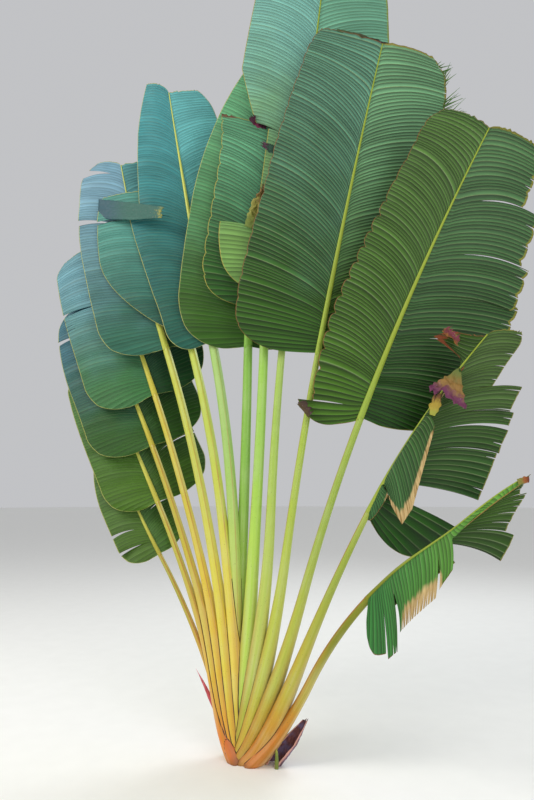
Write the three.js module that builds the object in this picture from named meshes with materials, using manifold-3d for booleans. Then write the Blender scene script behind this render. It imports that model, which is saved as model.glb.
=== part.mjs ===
// A young travellers palm: a flat fan of fourteen long-stalked leaves, on a short stem that their
// sheaths hide. Millimetres and degrees. The fan stands in the XZ plane, +Z is up, and blades face -Y.
// The origin is the middle of the stem's flat cut at ground level.

import * as THREE from "three";
import { mergeVertices } from "three/addons/utils/BufferGeometryUtils.js";
import Module from "manifold-3d";

// Stem, hidden inside the sheaths.
const STEM_HEIGHT = 260;
const STEM_HALF_WIDTH = 42;
const STEM_HALF_DEPTH = 36;
const STEM_TIP_SHARE = 0.35;
const ROOT_FLARE = 12;
const ROOT_FLARE_REACH = 45;

// Sheaths, the stalks' wide feet. Each older one wraps the younger ones, so it is deeper by one step.
const SHEATH_HALF_WIDTH = 52;
const SHEATH_HALF_DEPTH = 46;
const SHEATH_STEP = 5;
const SHEATH_REACH = 650;
const SHEATH_SWEEP_REACH = 180;
const STALK_FLATNESS = 0.82;
const NECK_TAPER = 0.66;
const OUT_OF_PLANE_FROM = 250;
const OUT_OF_PLANE_REACH = 700;

// Blades.
const THICKNESS_SHARE = 1 / 95;
const LEAST_THICKNESS = 12;
const MIDRIB_THICKNESS = 46;
const MIDRIB_SHARE = 0.05;
const BASE_WIDTH_SHARE = 0.62;
const LOBE_SHARE = 0.15;
const ROUND_SHARE = 0.07;
const ROUND_START = 0.35;
const TIP_WIDTH_SHARE = 0.84;
const TAPER_FROM = 0.45;
const CORNER_FROM = 0.9;
const CORNER_CUT = 0.16;
const VEIN_SLANTS = [80, 78, 78, 78, 79, 84];
const BASE_VEIN_SLANT = 98;
const VEIN_START_POWER = 0.6;
const FOLD = 0.1;
const CURL = 0.1;
const TEAR_HALF_WIDTH = 0.012;
const SAME_SHARE = 1e-6;
const TEAR_ROOT = 0.34;
const STRIP_SAG = 0.1;
const STRIP_LIFT = 0.07;
const HANG_BEND = 0.07;
const HANG_CLEARANCE = 0.13;

// Mesh steps and the gap between neighbours.
const STALK_SIDES = 8;
const STALK_STEPS = 12;
const STALK_CROWDING = 1.25;
const STEM_SIDES = 16;
const STEM_STEPS = 6;
const GROWTH_SIDES = 10;
const GROWTH_STEPS = 7;
const BLADE_STATIONS = 10;
const STATION_CROWDING = 1.6;
const BLADE_COLUMNS = [-1, -0.72, -0.36, -MIDRIB_SHARE, MIDRIB_SHARE, 0.36, 0.72, 1];
const MIDLINE_STEP = 10;
const GAP = 0.4;
const BELOW_GROUND = 60;
const GROUND_BLOCK = 900;

// The leaves, oldest and lowest first, as they stand on the left and on the right of the fan.
// foot: where the midline starts. lean: degrees from the vertical, to the right positive, above the
// foot, half-way up the stalk, at the neck and at the tip. sweep: how much more the sheath leans out.
// bladeLean: the leans along the blade, where it doesn't bend evenly. radius: half the stalk's width.
// taper: the share of the stalk's thickness left at the neck. clasp: how high its sheath reaches.
// depth: how far the leaf stands behind the fan's plane. turn: how far the blade is turned about the
// upright. halves: width of the blade's left and right side. base and top: shares of that width left
// at the neck and at the tip. lobe: how far up the base's lobe reaches, and lobePower how round it is.
// corner: how much of the width the tip's corner loses. baseSlant and slant: the veins' angles to the
// midrib, at the base and along the blade. tears: shares of the blade's length, which part a side
// into strips, and reach is the strips' length. wane: between two shares, how much of its reach a
// strip keeps at the first and at the last. hang: up to which share a side hangs straight down.
const LEAVES = [
  {
    name: "left_1",
    side: -1,
    foot: -16,
    sweep: 30.4,
    lean: [-12, -26.4, -36, -26],
    stalk: 1350,
    blade: 900,
    halves: [240, 240],
    top: 0.5,
    baseSlant: [92, 92],
    radius: 23,
    clasp: 300,
    depth: 0,
    turn: 34,
    tears: { left: [0.12, 0.26], right: [0.35, 0.68] },
  },
  {
    name: "right_1",
    side: 1,
    foot: 64,
    sweep: 8.4,
    lean: [40, 28.7, 44, 58],
    bladeLean: [44, 47, 54.5, 55, 50, 53, 59],
    stalk: 1253,
    blade: 1050,
    halves: [420, 310],
    radius: 32,
    clasp: 250,
    depth: -20,
    turn: 24,
    hang: { left: 1.1, right: 0.5 },
    tears: { left: [0.14, 0.25, 0.56, 0.64], right: [0.5, 0.58, 0.76] },
    reach: { left: [0.98, 1.08, 0.86, 0.66, 0.1], right: [0.6, 1.15, 0.9, 0.75] },
    slant: { left: [86, 88, 102, 106, 95, 90], right: [80, 84, 76, 40, 22, 14] },
    wane: { left: [[0.25, 0.56, 1, 0.85], [0.56, 0.64, 1, 0.8]], right: [[0.76, 1, 1, 0.4]] },
  },
  {
    name: "left_2",
    side: -1,
    foot: -42,
    sweep: 26,
    lean: [-9, -22.1, -29, -30],
    stalk: 1660,
    blade: 1130,
    halves: [340, 440],
    baseSlant: [92, 92],
    radius: 29,
    clasp: 560,
    depth: 0,
    turn: 32,
    tears: { left: [], right: [0.3, 0.6] },
  },
  {
    name: "right_2",
    side: 1,
    foot: 12,
    sweep: 33,
    lean: [22, 24.3, 29, 43],
    stalk: 1683,
    blade: 1190,
    halves: [420, 560],
    radius: 30,
    taper: 0.6,
    clasp: 760,
    depth: -10,
    turn: 24,
    hang: { left: 0.85, right: -1 },
    base: [0.62, 0.4],
    baseSlant: [98, 130],
    tears: { left: [0.2, 0.6, 0.85], right: [0.14, 0.2, 0.36, 0.46, 0.53, 0.66] },
    reach: { left: [0.3, 1.05, 0.08, 0.62], right: [0.95, 0.1, 0.95, 1, 0.95, 0.86, 0.52] },
    slant: { left: [60, 84, 82, 80, 92, 120], right: [116, 76, 58, 51, 46, 46] },
    wane: { left: [[0.2, 0.3, 0.35, 1], [0.38, 0.6, 1, 0.33], [0.85, 0.92, 0.2, 1]], right: [] },
  },
  {
    name: "left_3",
    side: -1,
    foot: -44,
    sweep: 24,
    lean: [-7, -20.3, -26, -32],
    stalk: 2041,
    blade: 1290,
    halves: [420, 450],
    top: 0.65,
    baseSlant: [92, 92],
    radius: 31,
    clasp: 680,
    depth: 0,
    turn: 32,
    tears: { left: [0.8], right: [0.4] },
  },
  {
    name: "right_3",
    side: 1,
    foot: -31,
    sweep: 18,
    lean: [23, 17.4, 23, 30],
    stalk: 2181,
    blade: 1790,
    halves: [400, 540],
    base: [0.7, 0.5],
    lobe: [0.35, 0.15],
    baseSlant: [124, 92],
    radius: 32,
    clasp: 730,
    depth: 0,
    turn: 27,
    tears: { left: [0.05], right: [0.32, 0.46, 0.6, 0.78] },
    reach: { left: [1.3, 1], right: [1.06, 1.2, 1.15, 1.05, 0.82] },
    slant: { left: [90, 80, 70, 66, 66, 80], right: [88, 82, 78, 74, 72, 74] },
  },
  {
    name: "left_4",
    side: -1,
    foot: -36,
    sweep: 20,
    lean: [-6, -17.3, -23, -26],
    stalk: 2381,
    blade: 1330,
    halves: [470, 450],
    baseSlant: [95, 95],
    radius: 33,
    clasp: 680,
    depth: 0,
    turn: 32,
    tears: { left: [0.62], right: [] },
  },
  {
    name: "right_4",
    side: 1,
    foot: -42,
    sweep: 6,
    lean: [19, 9, 12, 15],
    stalk: 2505,
    blade: 1970,
    halves: [575, 570],
    base: [0.85, 0.8],
    lobe: [0.15, 0.15],
    top: [0.72, 0.76],
    corner: [0.03, 0.16],
    radius: 32,
    taper: 0.62,
    clasp: 820,
    depth: 0,
    turn: 30,
    tears: { left: [], right: [0.48] },
    slant: { left: [88, 78, 68, 64, 66, 82], right: [84, 80, 78, 76, 76, 80] },
  },
  {
    name: "left_5",
    side: -1,
    foot: -30,
    sweep: 4,
    lean: [-7, -12.7, -21, -14],
    stalk: 2669,
    blade: 1560,
    halves: [440, 450],
    top: [0.74, 0.84],
    baseSlant: [92, 92],
    radius: 39,
    clasp: 730,
    depth: 0,
    turn: 32,
    tears: { left: [0.68, 0.93], right: [] },
    reach: { left: [1, 1, 0.8], right: [1] },
    slant: { left: [80, 78, 78, 76, 66, 62], right: [80, 78, 78, 78, 79, 84] },
  },
  {
    name: "right_5",
    side: 1,
    foot: -33,
    sweep: -10,
    lean: [16, 3, 7, 8],
    stalk: 2877,
    blade: 2280,
    halves: [520, 560],
    top: [0.84, 0.72],
    radius: 36,
    taper: 0.6,
    clasp: 900,
    depth: 0,
    turn: 30,
    tears: { left: [0.16, 0.44], right: [] },
    reach: { left: [0.97, 0.5, 1], right: [1] },
    slant: { left: [84, 76, 70, 66, 66, 78], right: [84, 80, 78, 76, 76, 80] },
    wane: { left: [[0.44, 0.58, 0.68, 1]], right: [] },
  },
  {
    name: "left_6",
    side: -1,
    foot: -21,
    sweep: -10,
    lean: [-7, -7.9, -18, -14],
    stalk: 2701,
    blade: 1150,
    halves: [520, 440],
    base: 0.05,
    lobe: 0.62,
    baseSlant: [80, 80],
    radius: 40,
    taper: 0.7,
    depth: 0,
    turn: 32,
    corner: [0.05, 0.16],
    tears: { left: [0.84], right: [] },
    slant: { left: [80, 78, 78, 78, 78, 72], right: [80, 78, 78, 78, 79, 84] },
  },
  {
    name: "right_6",
    side: 1,
    foot: -8,
    sweep: -8,
    lean: [3, 3.8, 2, 15],
    stalk: 2810,
    blade: 1150,
    halves: [450, 450],
    baseSlant: [94, 98],
    top: [1.08, 0.84],
    corner: [0, 0.16],
    radius: 44,
    taper: 0.65,
    clasp: 800,
    depth: 30,
    turn: 30,
    tears: { left: [], right: [] },
    slant: { left: [80, 74, 70, 68, 70, 80], right: [84, 80, 78, 76, 76, 80] },
  },
  {
    name: "left_7",
    side: -1,
    foot: -15,
    sweep: 20,
    lean: [1, -3, -13, -11],
    stalk: 2621,
    blade: 2000,
    halves: [470, 400],
    base: 0.6,
    lobe: 0.5,
    lobePower: 1,
    top: [0.66, 0.7],
    corner: [0.03, 0.16],
    radius: 43,
    taper: 0.74,
    depth: 20,
    turn: 30,
    tears: { left: [0.48], right: [] },
    reach: { left: [1, 0.8], right: [1] },
    slant: { left: [78, 78, 74, 64, 60, 42], right: [78, 78, 78, 78, 80, 84] },
  },
  {
    name: "right_7",
    side: 1,
    foot: -6,
    sweep: 2,
    lean: [-8, 2.2, 1, 20],
    stalk: 2553,
    blade: 1930,
    halves: [500, 460],
    top: [0.55, 0.7],
    radius: 42,
    taper: 0.72,
    depth: 65,
    turn: 30,
    tears: { left: [], right: [] },
    slant: { left: [84, 80, 76, 72, 72, 80], right: [84, 80, 78, 78, 78, 80] },
  },
];

// Small growths at the foot: a dry sheath and a young shoot on the right, and a red shoot on the
// left. Each is a limb through its base, middle and tip, with its half widths and half depths there.
const GROWTHS = [
  {
    name: "dry_sheath",
    path: [
      [180, 20, 0],
      [275, 35, 130],
      [395, 35, 290],
    ],
    widths: [55, 60, 12],
    depths: [42, 36, 8],
    colour: 0x6b3f3a,
  },
  {
    name: "shoot_right",
    path: [
      [226, -26, 0],
      [227, -26, 60],
      [224, -26, 112],
    ],
    widths: [13, 11, 6],
    depths: [11, 9, 5],
    colour: 0x7e8a2c,
  },
  {
    name: "shoot_left",
    path: [
      [-127, 20, 0],
      [-208, 10, 225],
      [-364, 0, 475],
    ],
    widths: [13, 13, 19, 4],
    depths: [11, 11, 12, 3],
    colour: 0xb4404a,
  },
];

const STALK_COLOUR = 0xb9b83c;
const BLADE_COLOUR = 0x3f7f3a;
const STEM_COLOUR = 0x8a6a3a;

const manifold = await Module();
manifold.setup();

const { lerp, clamp, degToRad, smoothstep } = THREE.MathUtils;

// A repeatable number from 0 to 1 for each whole number.
function scatter(n) {
  const x = Math.sin(n * 12.9898 + 4.1414) * 43758.5453;
  return x - Math.floor(x);
}

// The value at a share of the way through a list of evenly spaced values.
function along(values, share) {
  const place = clamp(share, 0, 1) * (values.length - 1);
  const i = Math.min(Math.floor(place), values.length - 2);
  return lerp(values[i], values[i + 1], place - i);
}

// The lean at a distance from the foot, with the sheath's outward sweep near the ground.
function leanAt(leaf, distance) {
  const [foot, middle, neck, tip] = leaf.lean;
  if (distance > leaf.stalk) {
    return along(leaf.bladeLean ?? [neck, tip], (distance - leaf.stalk) / leaf.blade);
  }
  const sweep = leaf.side * leaf.sweep * Math.exp(-distance / SHEATH_SWEEP_REACH);
  return along([foot, middle, neck], distance / leaf.stalk) + sweep;
}

// The leaf's midline, from its foot through the neck to the tip, as points one step apart.
function traceMidline(leaf) {
  const points = [new THREE.Vector3(leaf.foot, 0, 0)];
  const steps = Math.ceil((leaf.stalk + leaf.blade) / MIDLINE_STEP) + 2;
  for (let i = 0; i < steps; i++) {
    const lean = degToRad(leanAt(leaf, (i + 0.5) * MIDLINE_STEP));
    const move = new THREE.Vector3(Math.sin(lean), 0, Math.cos(lean)).multiplyScalar(MIDLINE_STEP);
    const next = points[i].clone().add(move);
    const distance = (i + 1) * MIDLINE_STEP;
    const out = smoothstep(distance, OUT_OF_PLANE_FROM, OUT_OF_PLANE_FROM + OUT_OF_PLANE_REACH);
    next.y = leaf.depth * out;
    points.push(next);
  }
  return points;
}

// The point and the directions at a distance from the foot.
function stationAt(leaf, distance) {
  const place = distance / MIDLINE_STEP;
  const i = clamp(Math.floor(place), 0, leaf.midline.length - 2);
  const point = leaf.midline[i].clone().lerp(leaf.midline[i + 1], place - i);
  const lean = degToRad(leanAt(leaf, distance));
  const up = new THREE.Vector3(Math.sin(lean), 0, Math.cos(lean));
  const right = new THREE.Vector3(Math.cos(lean), 0, -Math.sin(lean));
  return { point, up, right };
}

// Turns a three.js geometry into a solid.
function solidOf(geometry) {
  const bare = geometry.clone();
  bare.deleteAttribute("normal");
  bare.deleteAttribute("uv");
  const merged = mergeVertices(bare, 1e-3);
  return new manifold.Manifold(
    new manifold.Mesh({
      numProp: 3,
      vertProperties: merged.attributes.position.array,
      triVerts: new Uint32Array(merged.index.array),
    }),
  );
}

// Turns a solid back into a three.js geometry.
function geometryOf(solid) {
  const { numVert, numProp, vertProperties, triVerts } = solid.getMesh();
  const positions = new Float32Array(numVert * 3);
  for (let i = 0; i < numVert; i++) {
    positions.set(vertProperties.subarray(i * numProp, i * numProp + 3), i * 3);
  }
  const geometry = new THREE.BufferGeometry();
  geometry.setAttribute("position", new THREE.BufferAttribute(positions, 3));
  geometry.setIndex(new THREE.BufferAttribute(triVerts, 1));
  geometry.computeVertexNormals();
  return geometry;
}

// Moves every vertex of a geometry to where place() puts it.
function reshape(geometry, place) {
  const position = geometry.attributes.position;
  const vertex = new THREE.Vector3();
  for (let i = 0; i < position.count; i++) {
    place(vertex.fromBufferAttribute(position, i));
    position.setXYZ(i, vertex.x, vertex.y, vertex.z);
  }
  return geometry;
}

// A tapered limb: sectionAt gives the centre, two directions and two half sizes at each share.
function limb(sides, steps, sectionAt) {
  const tube = new THREE.CylinderGeometry(1, 1, 1, sides, steps);
  reshape(tube, (vertex) => {
    const { point, across, through, width, depth } = sectionAt(vertex.y + 0.5);
    const { x, z } = vertex;
    vertex.copy(point).addScaledVector(across, x * width).addScaledVector(through, -z * depth);
  });
  return solidOf(tube);
}

// Half the stalk's width and depth at a distance from the foot, made larger by grow.
function stalkSize(leaf, distance, grow) {
  const share = distance / leaf.stalk;
  const round = leaf.radius * lerp(1, leaf.taper ?? NECK_TAPER, share);
  const foot = Math.exp(-((distance / (leaf.clasp ?? SHEATH_REACH)) ** 2));
  return {
    width: lerp(round, SHEATH_HALF_WIDTH, foot) + grow,
    depth: lerp(round * STALK_FLATNESS, SHEATH_HALF_DEPTH + leaf.wraps * SHEATH_STEP, foot) + grow,
  };
}

// A stalk with its sheath, from below ground to the neck, before its neighbours are cut from it.
function wholeStalk(leaf, grow) {
  const through = new THREE.Vector3(0, 1, 0);
  return limb(STALK_SIDES, STALK_STEPS, (share) => {
    const distance = lerp(-BELOW_GROUND, leaf.stalk + grow, share ** STALK_CROWDING);
    const { point, right } = stationAt(leaf, Math.max(distance, 0));
    point.z += Math.min(distance, 0);
    const { width, depth } = stalkSize(leaf, Math.max(distance, 0), grow);
    return { point, across: right, through, width, depth };
  });
}

// The stem: a short tapering core with a flare at the ground.
function wholeStem(grow) {
  const across = new THREE.Vector3(1, 0, 0);
  const through = new THREE.Vector3(0, 1, 0);
  return limb(STEM_SIDES, STEM_STEPS, (share) => {
    const height = share * (STEM_HEIGHT + grow);
    const taper = lerp(1, STEM_TIP_SHARE, share ** 2);
    const flare = ROOT_FLARE * Math.exp(-height / ROOT_FLARE_REACH);
    return {
      point: new THREE.Vector3(0, 0, height),
      across,
      through,
      width: STEM_HALF_WIDTH * taper + flare + grow,
      depth: STEM_HALF_DEPTH * taper + flare + grow,
    };
  });
}

// A growth at the foot: a limb through three points, made larger by grow.
function wholeGrowth(growth, grow) {
  const curve = new THREE.CatmullRomCurve3(growth.path.map((p) => new THREE.Vector3(...p)));
  const across = new THREE.Vector3(1, 0, 0);
  const through = new THREE.Vector3(0, 1, 0);
  return limb(GROWTH_SIDES, GROWTH_STEPS, (share) => ({
    point: curve.getPoint(share),
    across,
    through,
    width: along(growth.widths, share) + grow,
    depth: along(growth.depths, share) + grow,
  }));
}

// A measure of one half, where a leaf states one number for both halves or one for each.
function ofHalf(value, half) {
  return Array.isArray(value) ? value[half === "left" ? 0 : 1] : value;
}

// The width of a blade's half at a share of its length, as a share of the widest: a round lobe at
// the base with a rounded corner, nearly parallel margins, and a blunt tip.
function outline(leaf, half, share) {
  const base = ofHalf(leaf.base ?? BASE_WIDTH_SHARE, half);
  const toLobe = Math.max(0, 1 - share / ofHalf(leaf.lobe ?? LOBE_SHARE, half));
  const lobe = (1 - base) * toLobe ** (leaf.lobePower ?? 2);
  const top = ofHalf(leaf.top ?? TIP_WIDTH_SHARE, half);
  const taper = (1 - top) * (Math.max(0, share - TAPER_FROM) / (1 - TAPER_FROM)) ** 2;
  const cut = ofHalf(leaf.corner ?? CORNER_CUT, half);
  const corner = cut * (Math.max(0, share - CORNER_FROM) / (1 - CORNER_FROM)) ** 2;
  const toRound = 1 - Math.min(share / ROUND_SHARE, 1);
  const rounding = lerp(ROUND_START, 1, Math.sqrt(1 - toRound ** 2));
  return (1 - lobe) * rounding - taper - corner;
}

// How many tears of a half lie below a share of the length: the number of its strip.
function stripOf(leaf, half, share) {
  return leaf.tears[half].filter((tear) => tear < share).length;
}

// The reach of a strip, which is whole where the leaf states none.
function reachOf(leaf, half, strip) {
  if (!leaf.reach) return 1;
  return leaf.reach[half][Math.min(strip, leaf.reach[half].length - 1)];
}

// How much of its reach a half keeps at a share of the length, where a strip wanes.
function keptReach(leaf, half, share) {
  const wanes = leaf.wane ? leaf.wane[half] : [];
  const here = wanes.find(([start, end]) => share >= start && share <= end);
  return here ? lerp(here[2], here[3], (share - here[0]) / (here[1] - here[0])) : 1;
}

// A point of the blade's middle surface. u runs from -1 at the left margin to 1 at the right one,
// and share along the midrib, to where the vein through the point leaves it.
function bladePoint(leaf, u, share) {
  const half = u < 0 ? "left" : "right";
  const sign = Math.sign(u);
  const atTear = leaf.tears[half].some((tear) => Math.abs(tear - share) < SAME_SHARE);
  const out = atTear ? Math.abs(u) * TEAR_ROOT : Math.abs(u);
  const { point, up, right } = stationAt(leaf, leaf.stalk + share * leaf.blade);
  const back = new THREE.Vector3(0, 1, 0);
  const turn = degToRad(leaf.turn);
  const lateral = right.clone().multiplyScalar(Math.cos(turn)).addScaledVector(back, Math.sin(turn));
  const facing = right.clone().multiplyScalar(Math.sin(turn)).addScaledVector(back, -Math.cos(turn));
  const strip = stripOf(leaf, half, share);
  const reach = reachOf(leaf, half, strip) * keptReach(leaf, half, share);
  const length = ofHalf(leaf.halves, half) * outline(leaf, half, share) * reach;
  const spreading = Math.max(0, 1 - share / LOBE_SHARE) ** 2;
  const usual = along(leaf.slant ? leaf.slant[half] : VEIN_SLANTS, share);
  const atBase = ofHalf(leaf.baseSlant ?? BASE_VEIN_SLANT, half);
  const slant = degToRad(lerp(usual, atBase, spreading));
  const chance = strip + 10 * leaf.wraps + (u < 0 ? 5 : 0);
  const torn = leaf.tears[half].length > 0 ? out * out : 0;
  const sag = STRIP_SAG * torn * scatter(chance);
  const lift = STRIP_LIFT * torn * (2 * scatter(chance + 0.5) - 1);
  if (leaf.hang && share <= leaf.hang[half]) {
    const drop = out - HANG_BEND * (1 - Math.exp(-out / HANG_BEND));
    const clear = HANG_CLEARANCE * (1 - Math.exp(-out / HANG_BEND));
    return point
      .clone()
      .addScaledVector(back, length * sign * clear)
      .addScaledVector(up, length * Math.cos(slant) * out)
      .add(new THREE.Vector3(0, 0, -length * drop));
  }
  return point
    .clone()
    .addScaledVector(up, length * (Math.cos(slant) * out ** VEIN_START_POWER - sag))
    .addScaledVector(lateral, sign * length * Math.sin(slant) * out)
    .addScaledVector(facing, -length * (FOLD * out + CURL * out * out + lift));
}

// The shares of the length at which a blade is sectioned: even ones, and three at each tear.
function bladeShares(leaf) {
  const tears = [...leaf.tears.left, ...leaf.tears.right];
  const steps = Array.from({ length: BLADE_STATIONS + 1 }, (_, i) => i / BLADE_STATIONS);
  const even = steps.map((step) => step ** STATION_CROWDING);
  const near = (share) => tears.some((tear) => Math.abs(tear - share) < 3 * TEAR_HALF_WIDTH);
  const atTears = tears.flatMap((tear) => [tear - TEAR_HALF_WIDTH, tear, tear + TEAR_HALF_WIDTH]);
  return [...even.filter((share) => !near(share)), ...atTears].sort((a, b) => a - b);
}

// A blade with its midrib, as one thin closed solid that starts just clear of its stalk.
function wholeBlade(leaf) {
  const shares = bladeShares(leaf);
  const columns = BLADE_COLUMNS.length - 1;
  const slab = new THREE.BoxGeometry(1, 1, 1, columns, shares.length - 1, 1);
  const small = 1e-3;
  const thickness = Math.max(LEAST_THICKNESS, leaf.blade * THICKNESS_SHARE);
  reshape(slab, (vertex) => {
    const u = BLADE_COLUMNS[Math.round((vertex.x + 0.5) * columns)];
    const share = shares[Math.round((vertex.y + 0.5) * (shares.length - 1))];
    const side = Math.sign(vertex.z);
    const middle = bladePoint(leaf, u, share);
    const step = share > 0.5 ? -small : small;
    const inward = u - Math.sign(u) * small;
    const alongBlade = bladePoint(leaf, u, share + step).sub(middle).multiplyScalar(Math.sign(step));
    const acrossBlade = middle.clone().sub(bladePoint(leaf, inward, share)).multiplyScalar(Math.sign(u));
    const normal = acrossBlade.cross(alongBlade).normalize();
    const rib = Math.abs(u) > MIDRIB_SHARE ? 0 : lerp(MIDRIB_THICKNESS - thickness, 0, share);
    vertex.copy(middle).addScaledVector(normal, (side * (thickness + rib)) / 2);
    if (share === 0) vertex.addScaledVector(stationAt(leaf, leaf.stalk).up, GAP);
  });
  return solidOf(slab);
}

// The largest body of a solid, without the scraps that a cut leaves.
function largestBody(solid) {
  return solid.decompose().reduce((best, body) => (body.volume() > best.volume() ? body : best));
}

// Everything below the ground.
function groundBlock() {
  const block = new THREE.BoxGeometry(2 * GROUND_BLOCK, 2 * GROUND_BLOCK, GROUND_BLOCK);
  return solidOf(block.translate(0, 0, -GROUND_BLOCK / 2));
}

function addMesh(group, name, solid, colour, roughness) {
  const material = new THREE.MeshStandardMaterial({ color: colour, roughness, metalness: 0 });
  const mesh = new THREE.Mesh(geometryOf(solid), material);
  mesh.name = name;
  group.add(mesh);
}

const palm = new THREE.Group();
palm.name = "travellers_palm";
const ground = groundBlock();
addMesh(palm, "stem", wholeStem(0), STEM_COLOUR, 0.8);

LEAVES.forEach((leaf, i) => {
  leaf.wraps = LEAVES.length - 1 - i;
  leaf.midline = traceMidline(leaf);
});

// From the youngest leaf outwards, each stalk is cut clear of everything that its sheath wraps.
let wrapped = wholeStem(GAP).add(ground);
for (const leaf of [...LEAVES].reverse()) {
  const stalk = largestBody(wholeStalk(leaf, 0).subtract(wrapped));
  const stalkWithGap = wholeStalk(leaf, GAP);
  const blade = largestBody(wholeBlade(leaf).subtract(stalkWithGap));
  wrapped = wrapped.add(stalkWithGap);
  addMesh(palm, `stalk_${leaf.name}`, stalk, STALK_COLOUR, 0.45);
  addMesh(palm, `blade_${leaf.name}`, blade, BLADE_COLOUR, 0.5);
}
for (const growth of GROWTHS) {
  const solid = largestBody(wholeGrowth(growth, 0).subtract(wrapped));
  wrapped = wrapped.add(wholeGrowth(growth, GAP));
  addMesh(palm, growth.name, solid, growth.colour, 0.8);
}

export default palm;
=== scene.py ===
# %% [markdown]
# # A young travellers palm
#
# The plant is a flat fan: fourteen long stalks whose sheaths clasp each other at the foot, and a
# large paddle-shaped blade on each. The plain model already has every stalk and blade in its place.
# This lesson replaces each of them by a finer mesh that grows by the same rule, and paints it.

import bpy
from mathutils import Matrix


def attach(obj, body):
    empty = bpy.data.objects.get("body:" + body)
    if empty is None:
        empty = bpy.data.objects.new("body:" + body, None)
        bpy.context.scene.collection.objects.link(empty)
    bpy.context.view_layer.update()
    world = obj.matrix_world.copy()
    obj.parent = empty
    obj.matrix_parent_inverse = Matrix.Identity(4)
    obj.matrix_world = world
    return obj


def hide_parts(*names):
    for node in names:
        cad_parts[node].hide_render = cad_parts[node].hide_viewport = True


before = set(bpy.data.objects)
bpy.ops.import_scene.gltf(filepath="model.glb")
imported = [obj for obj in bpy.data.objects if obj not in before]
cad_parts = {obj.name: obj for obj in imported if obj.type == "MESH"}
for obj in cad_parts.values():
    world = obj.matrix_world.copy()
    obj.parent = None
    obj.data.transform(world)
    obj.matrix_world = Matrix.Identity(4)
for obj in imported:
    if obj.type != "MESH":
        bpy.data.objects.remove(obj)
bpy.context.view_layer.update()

# %% Tools of the lesson
import math

import bmesh
import bpy
from mathutils import Vector, noise

BACK = Vector((0, 1, 0))
DOWN = Vector((0, 0, -1))
FAR_PART = 31.7


def lerp(a, b, share):
    return a + (b - a) * share


def smooth(value, low, high):
    share = min(max((value - low) / (high - low), 0.0), 1.0)
    return share * share * (3 - 2 * share)


def scatter(n):
    """A repeatable number from 0 to 1 for each number."""
    x = math.sin(n * 12.9898 + 4.1414) * 43758.5453
    return x - math.floor(x)


def drift(place):
    """Noise in three directions, the same in every run. Each is read from a far part of the noise."""
    return Vector([noise.noise(place + Vector((0, 0, FAR_PART * k))) for k in range(3)])


def paint(code):
    """A colour in the linear values that a shader takes, from the usual six signs."""
    shares = [int(code[i : i + 2], 16) / 255 for i in (0, 2, 4)]
    return tuple(s / 12.92 if s < 0.04045 else ((s + 0.055) / 1.055) ** 2.4 for s in shares)


# %% [markdown]
# ## The leaves
#
# Each leaf is told by how a gardener would measure it: where its foot stands, how it leans above
# the foot, half-way up the stalk, at the neck and at the tip, how long the stalk and the blade are,
# how wide the blade's two halves are, and where it is torn. Lengths are in metres, angles in degrees.
# The oldest leaf comes first, because the older sheaths clasp the younger ones.

# %% The usual leaf
LEFT, RIGHT = 0, 1

EVEN_SLANT = (80, 78, 78, 78, 79, 84)

USUAL = {
    "taper": 0.66,
    "clasp": 0.65,
    "base": 0.62,
    "lobe": 0.15,
    "lobe_power": 2,
    "top": 0.84,
    "corner": 0.16,
    "base_slant": (98, 98),
    "hang": (-1, -1),
    "tears": ((), ()),
    "reach": ((1,), (1,)),
    "open": 0.008,
    "slant": (EVEN_SLANT, EVEN_SLANT),
    "wane": (),
    "scallops": (),
    "nicks": (),
    "dry": (),
    "dry_top": "96743e",
    "ribs": 0.36,
    "edging": ("b9bc6a", 0.004, "b9bc6a", 0.004),
}
LEFT_OF_RIGHT = ("8a5c30", 0.004)


def make_leaf(name, **measures):
    """One leaf: its own measures, and the usual ones where it states none."""
    side = -1 if name.startswith("left") else 1
    rib_tone = "b4b868" if side < 0 else "84923c"
    return {**USUAL, "name": name, "side": side, "rib_tone": rib_tone, **measures}
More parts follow.
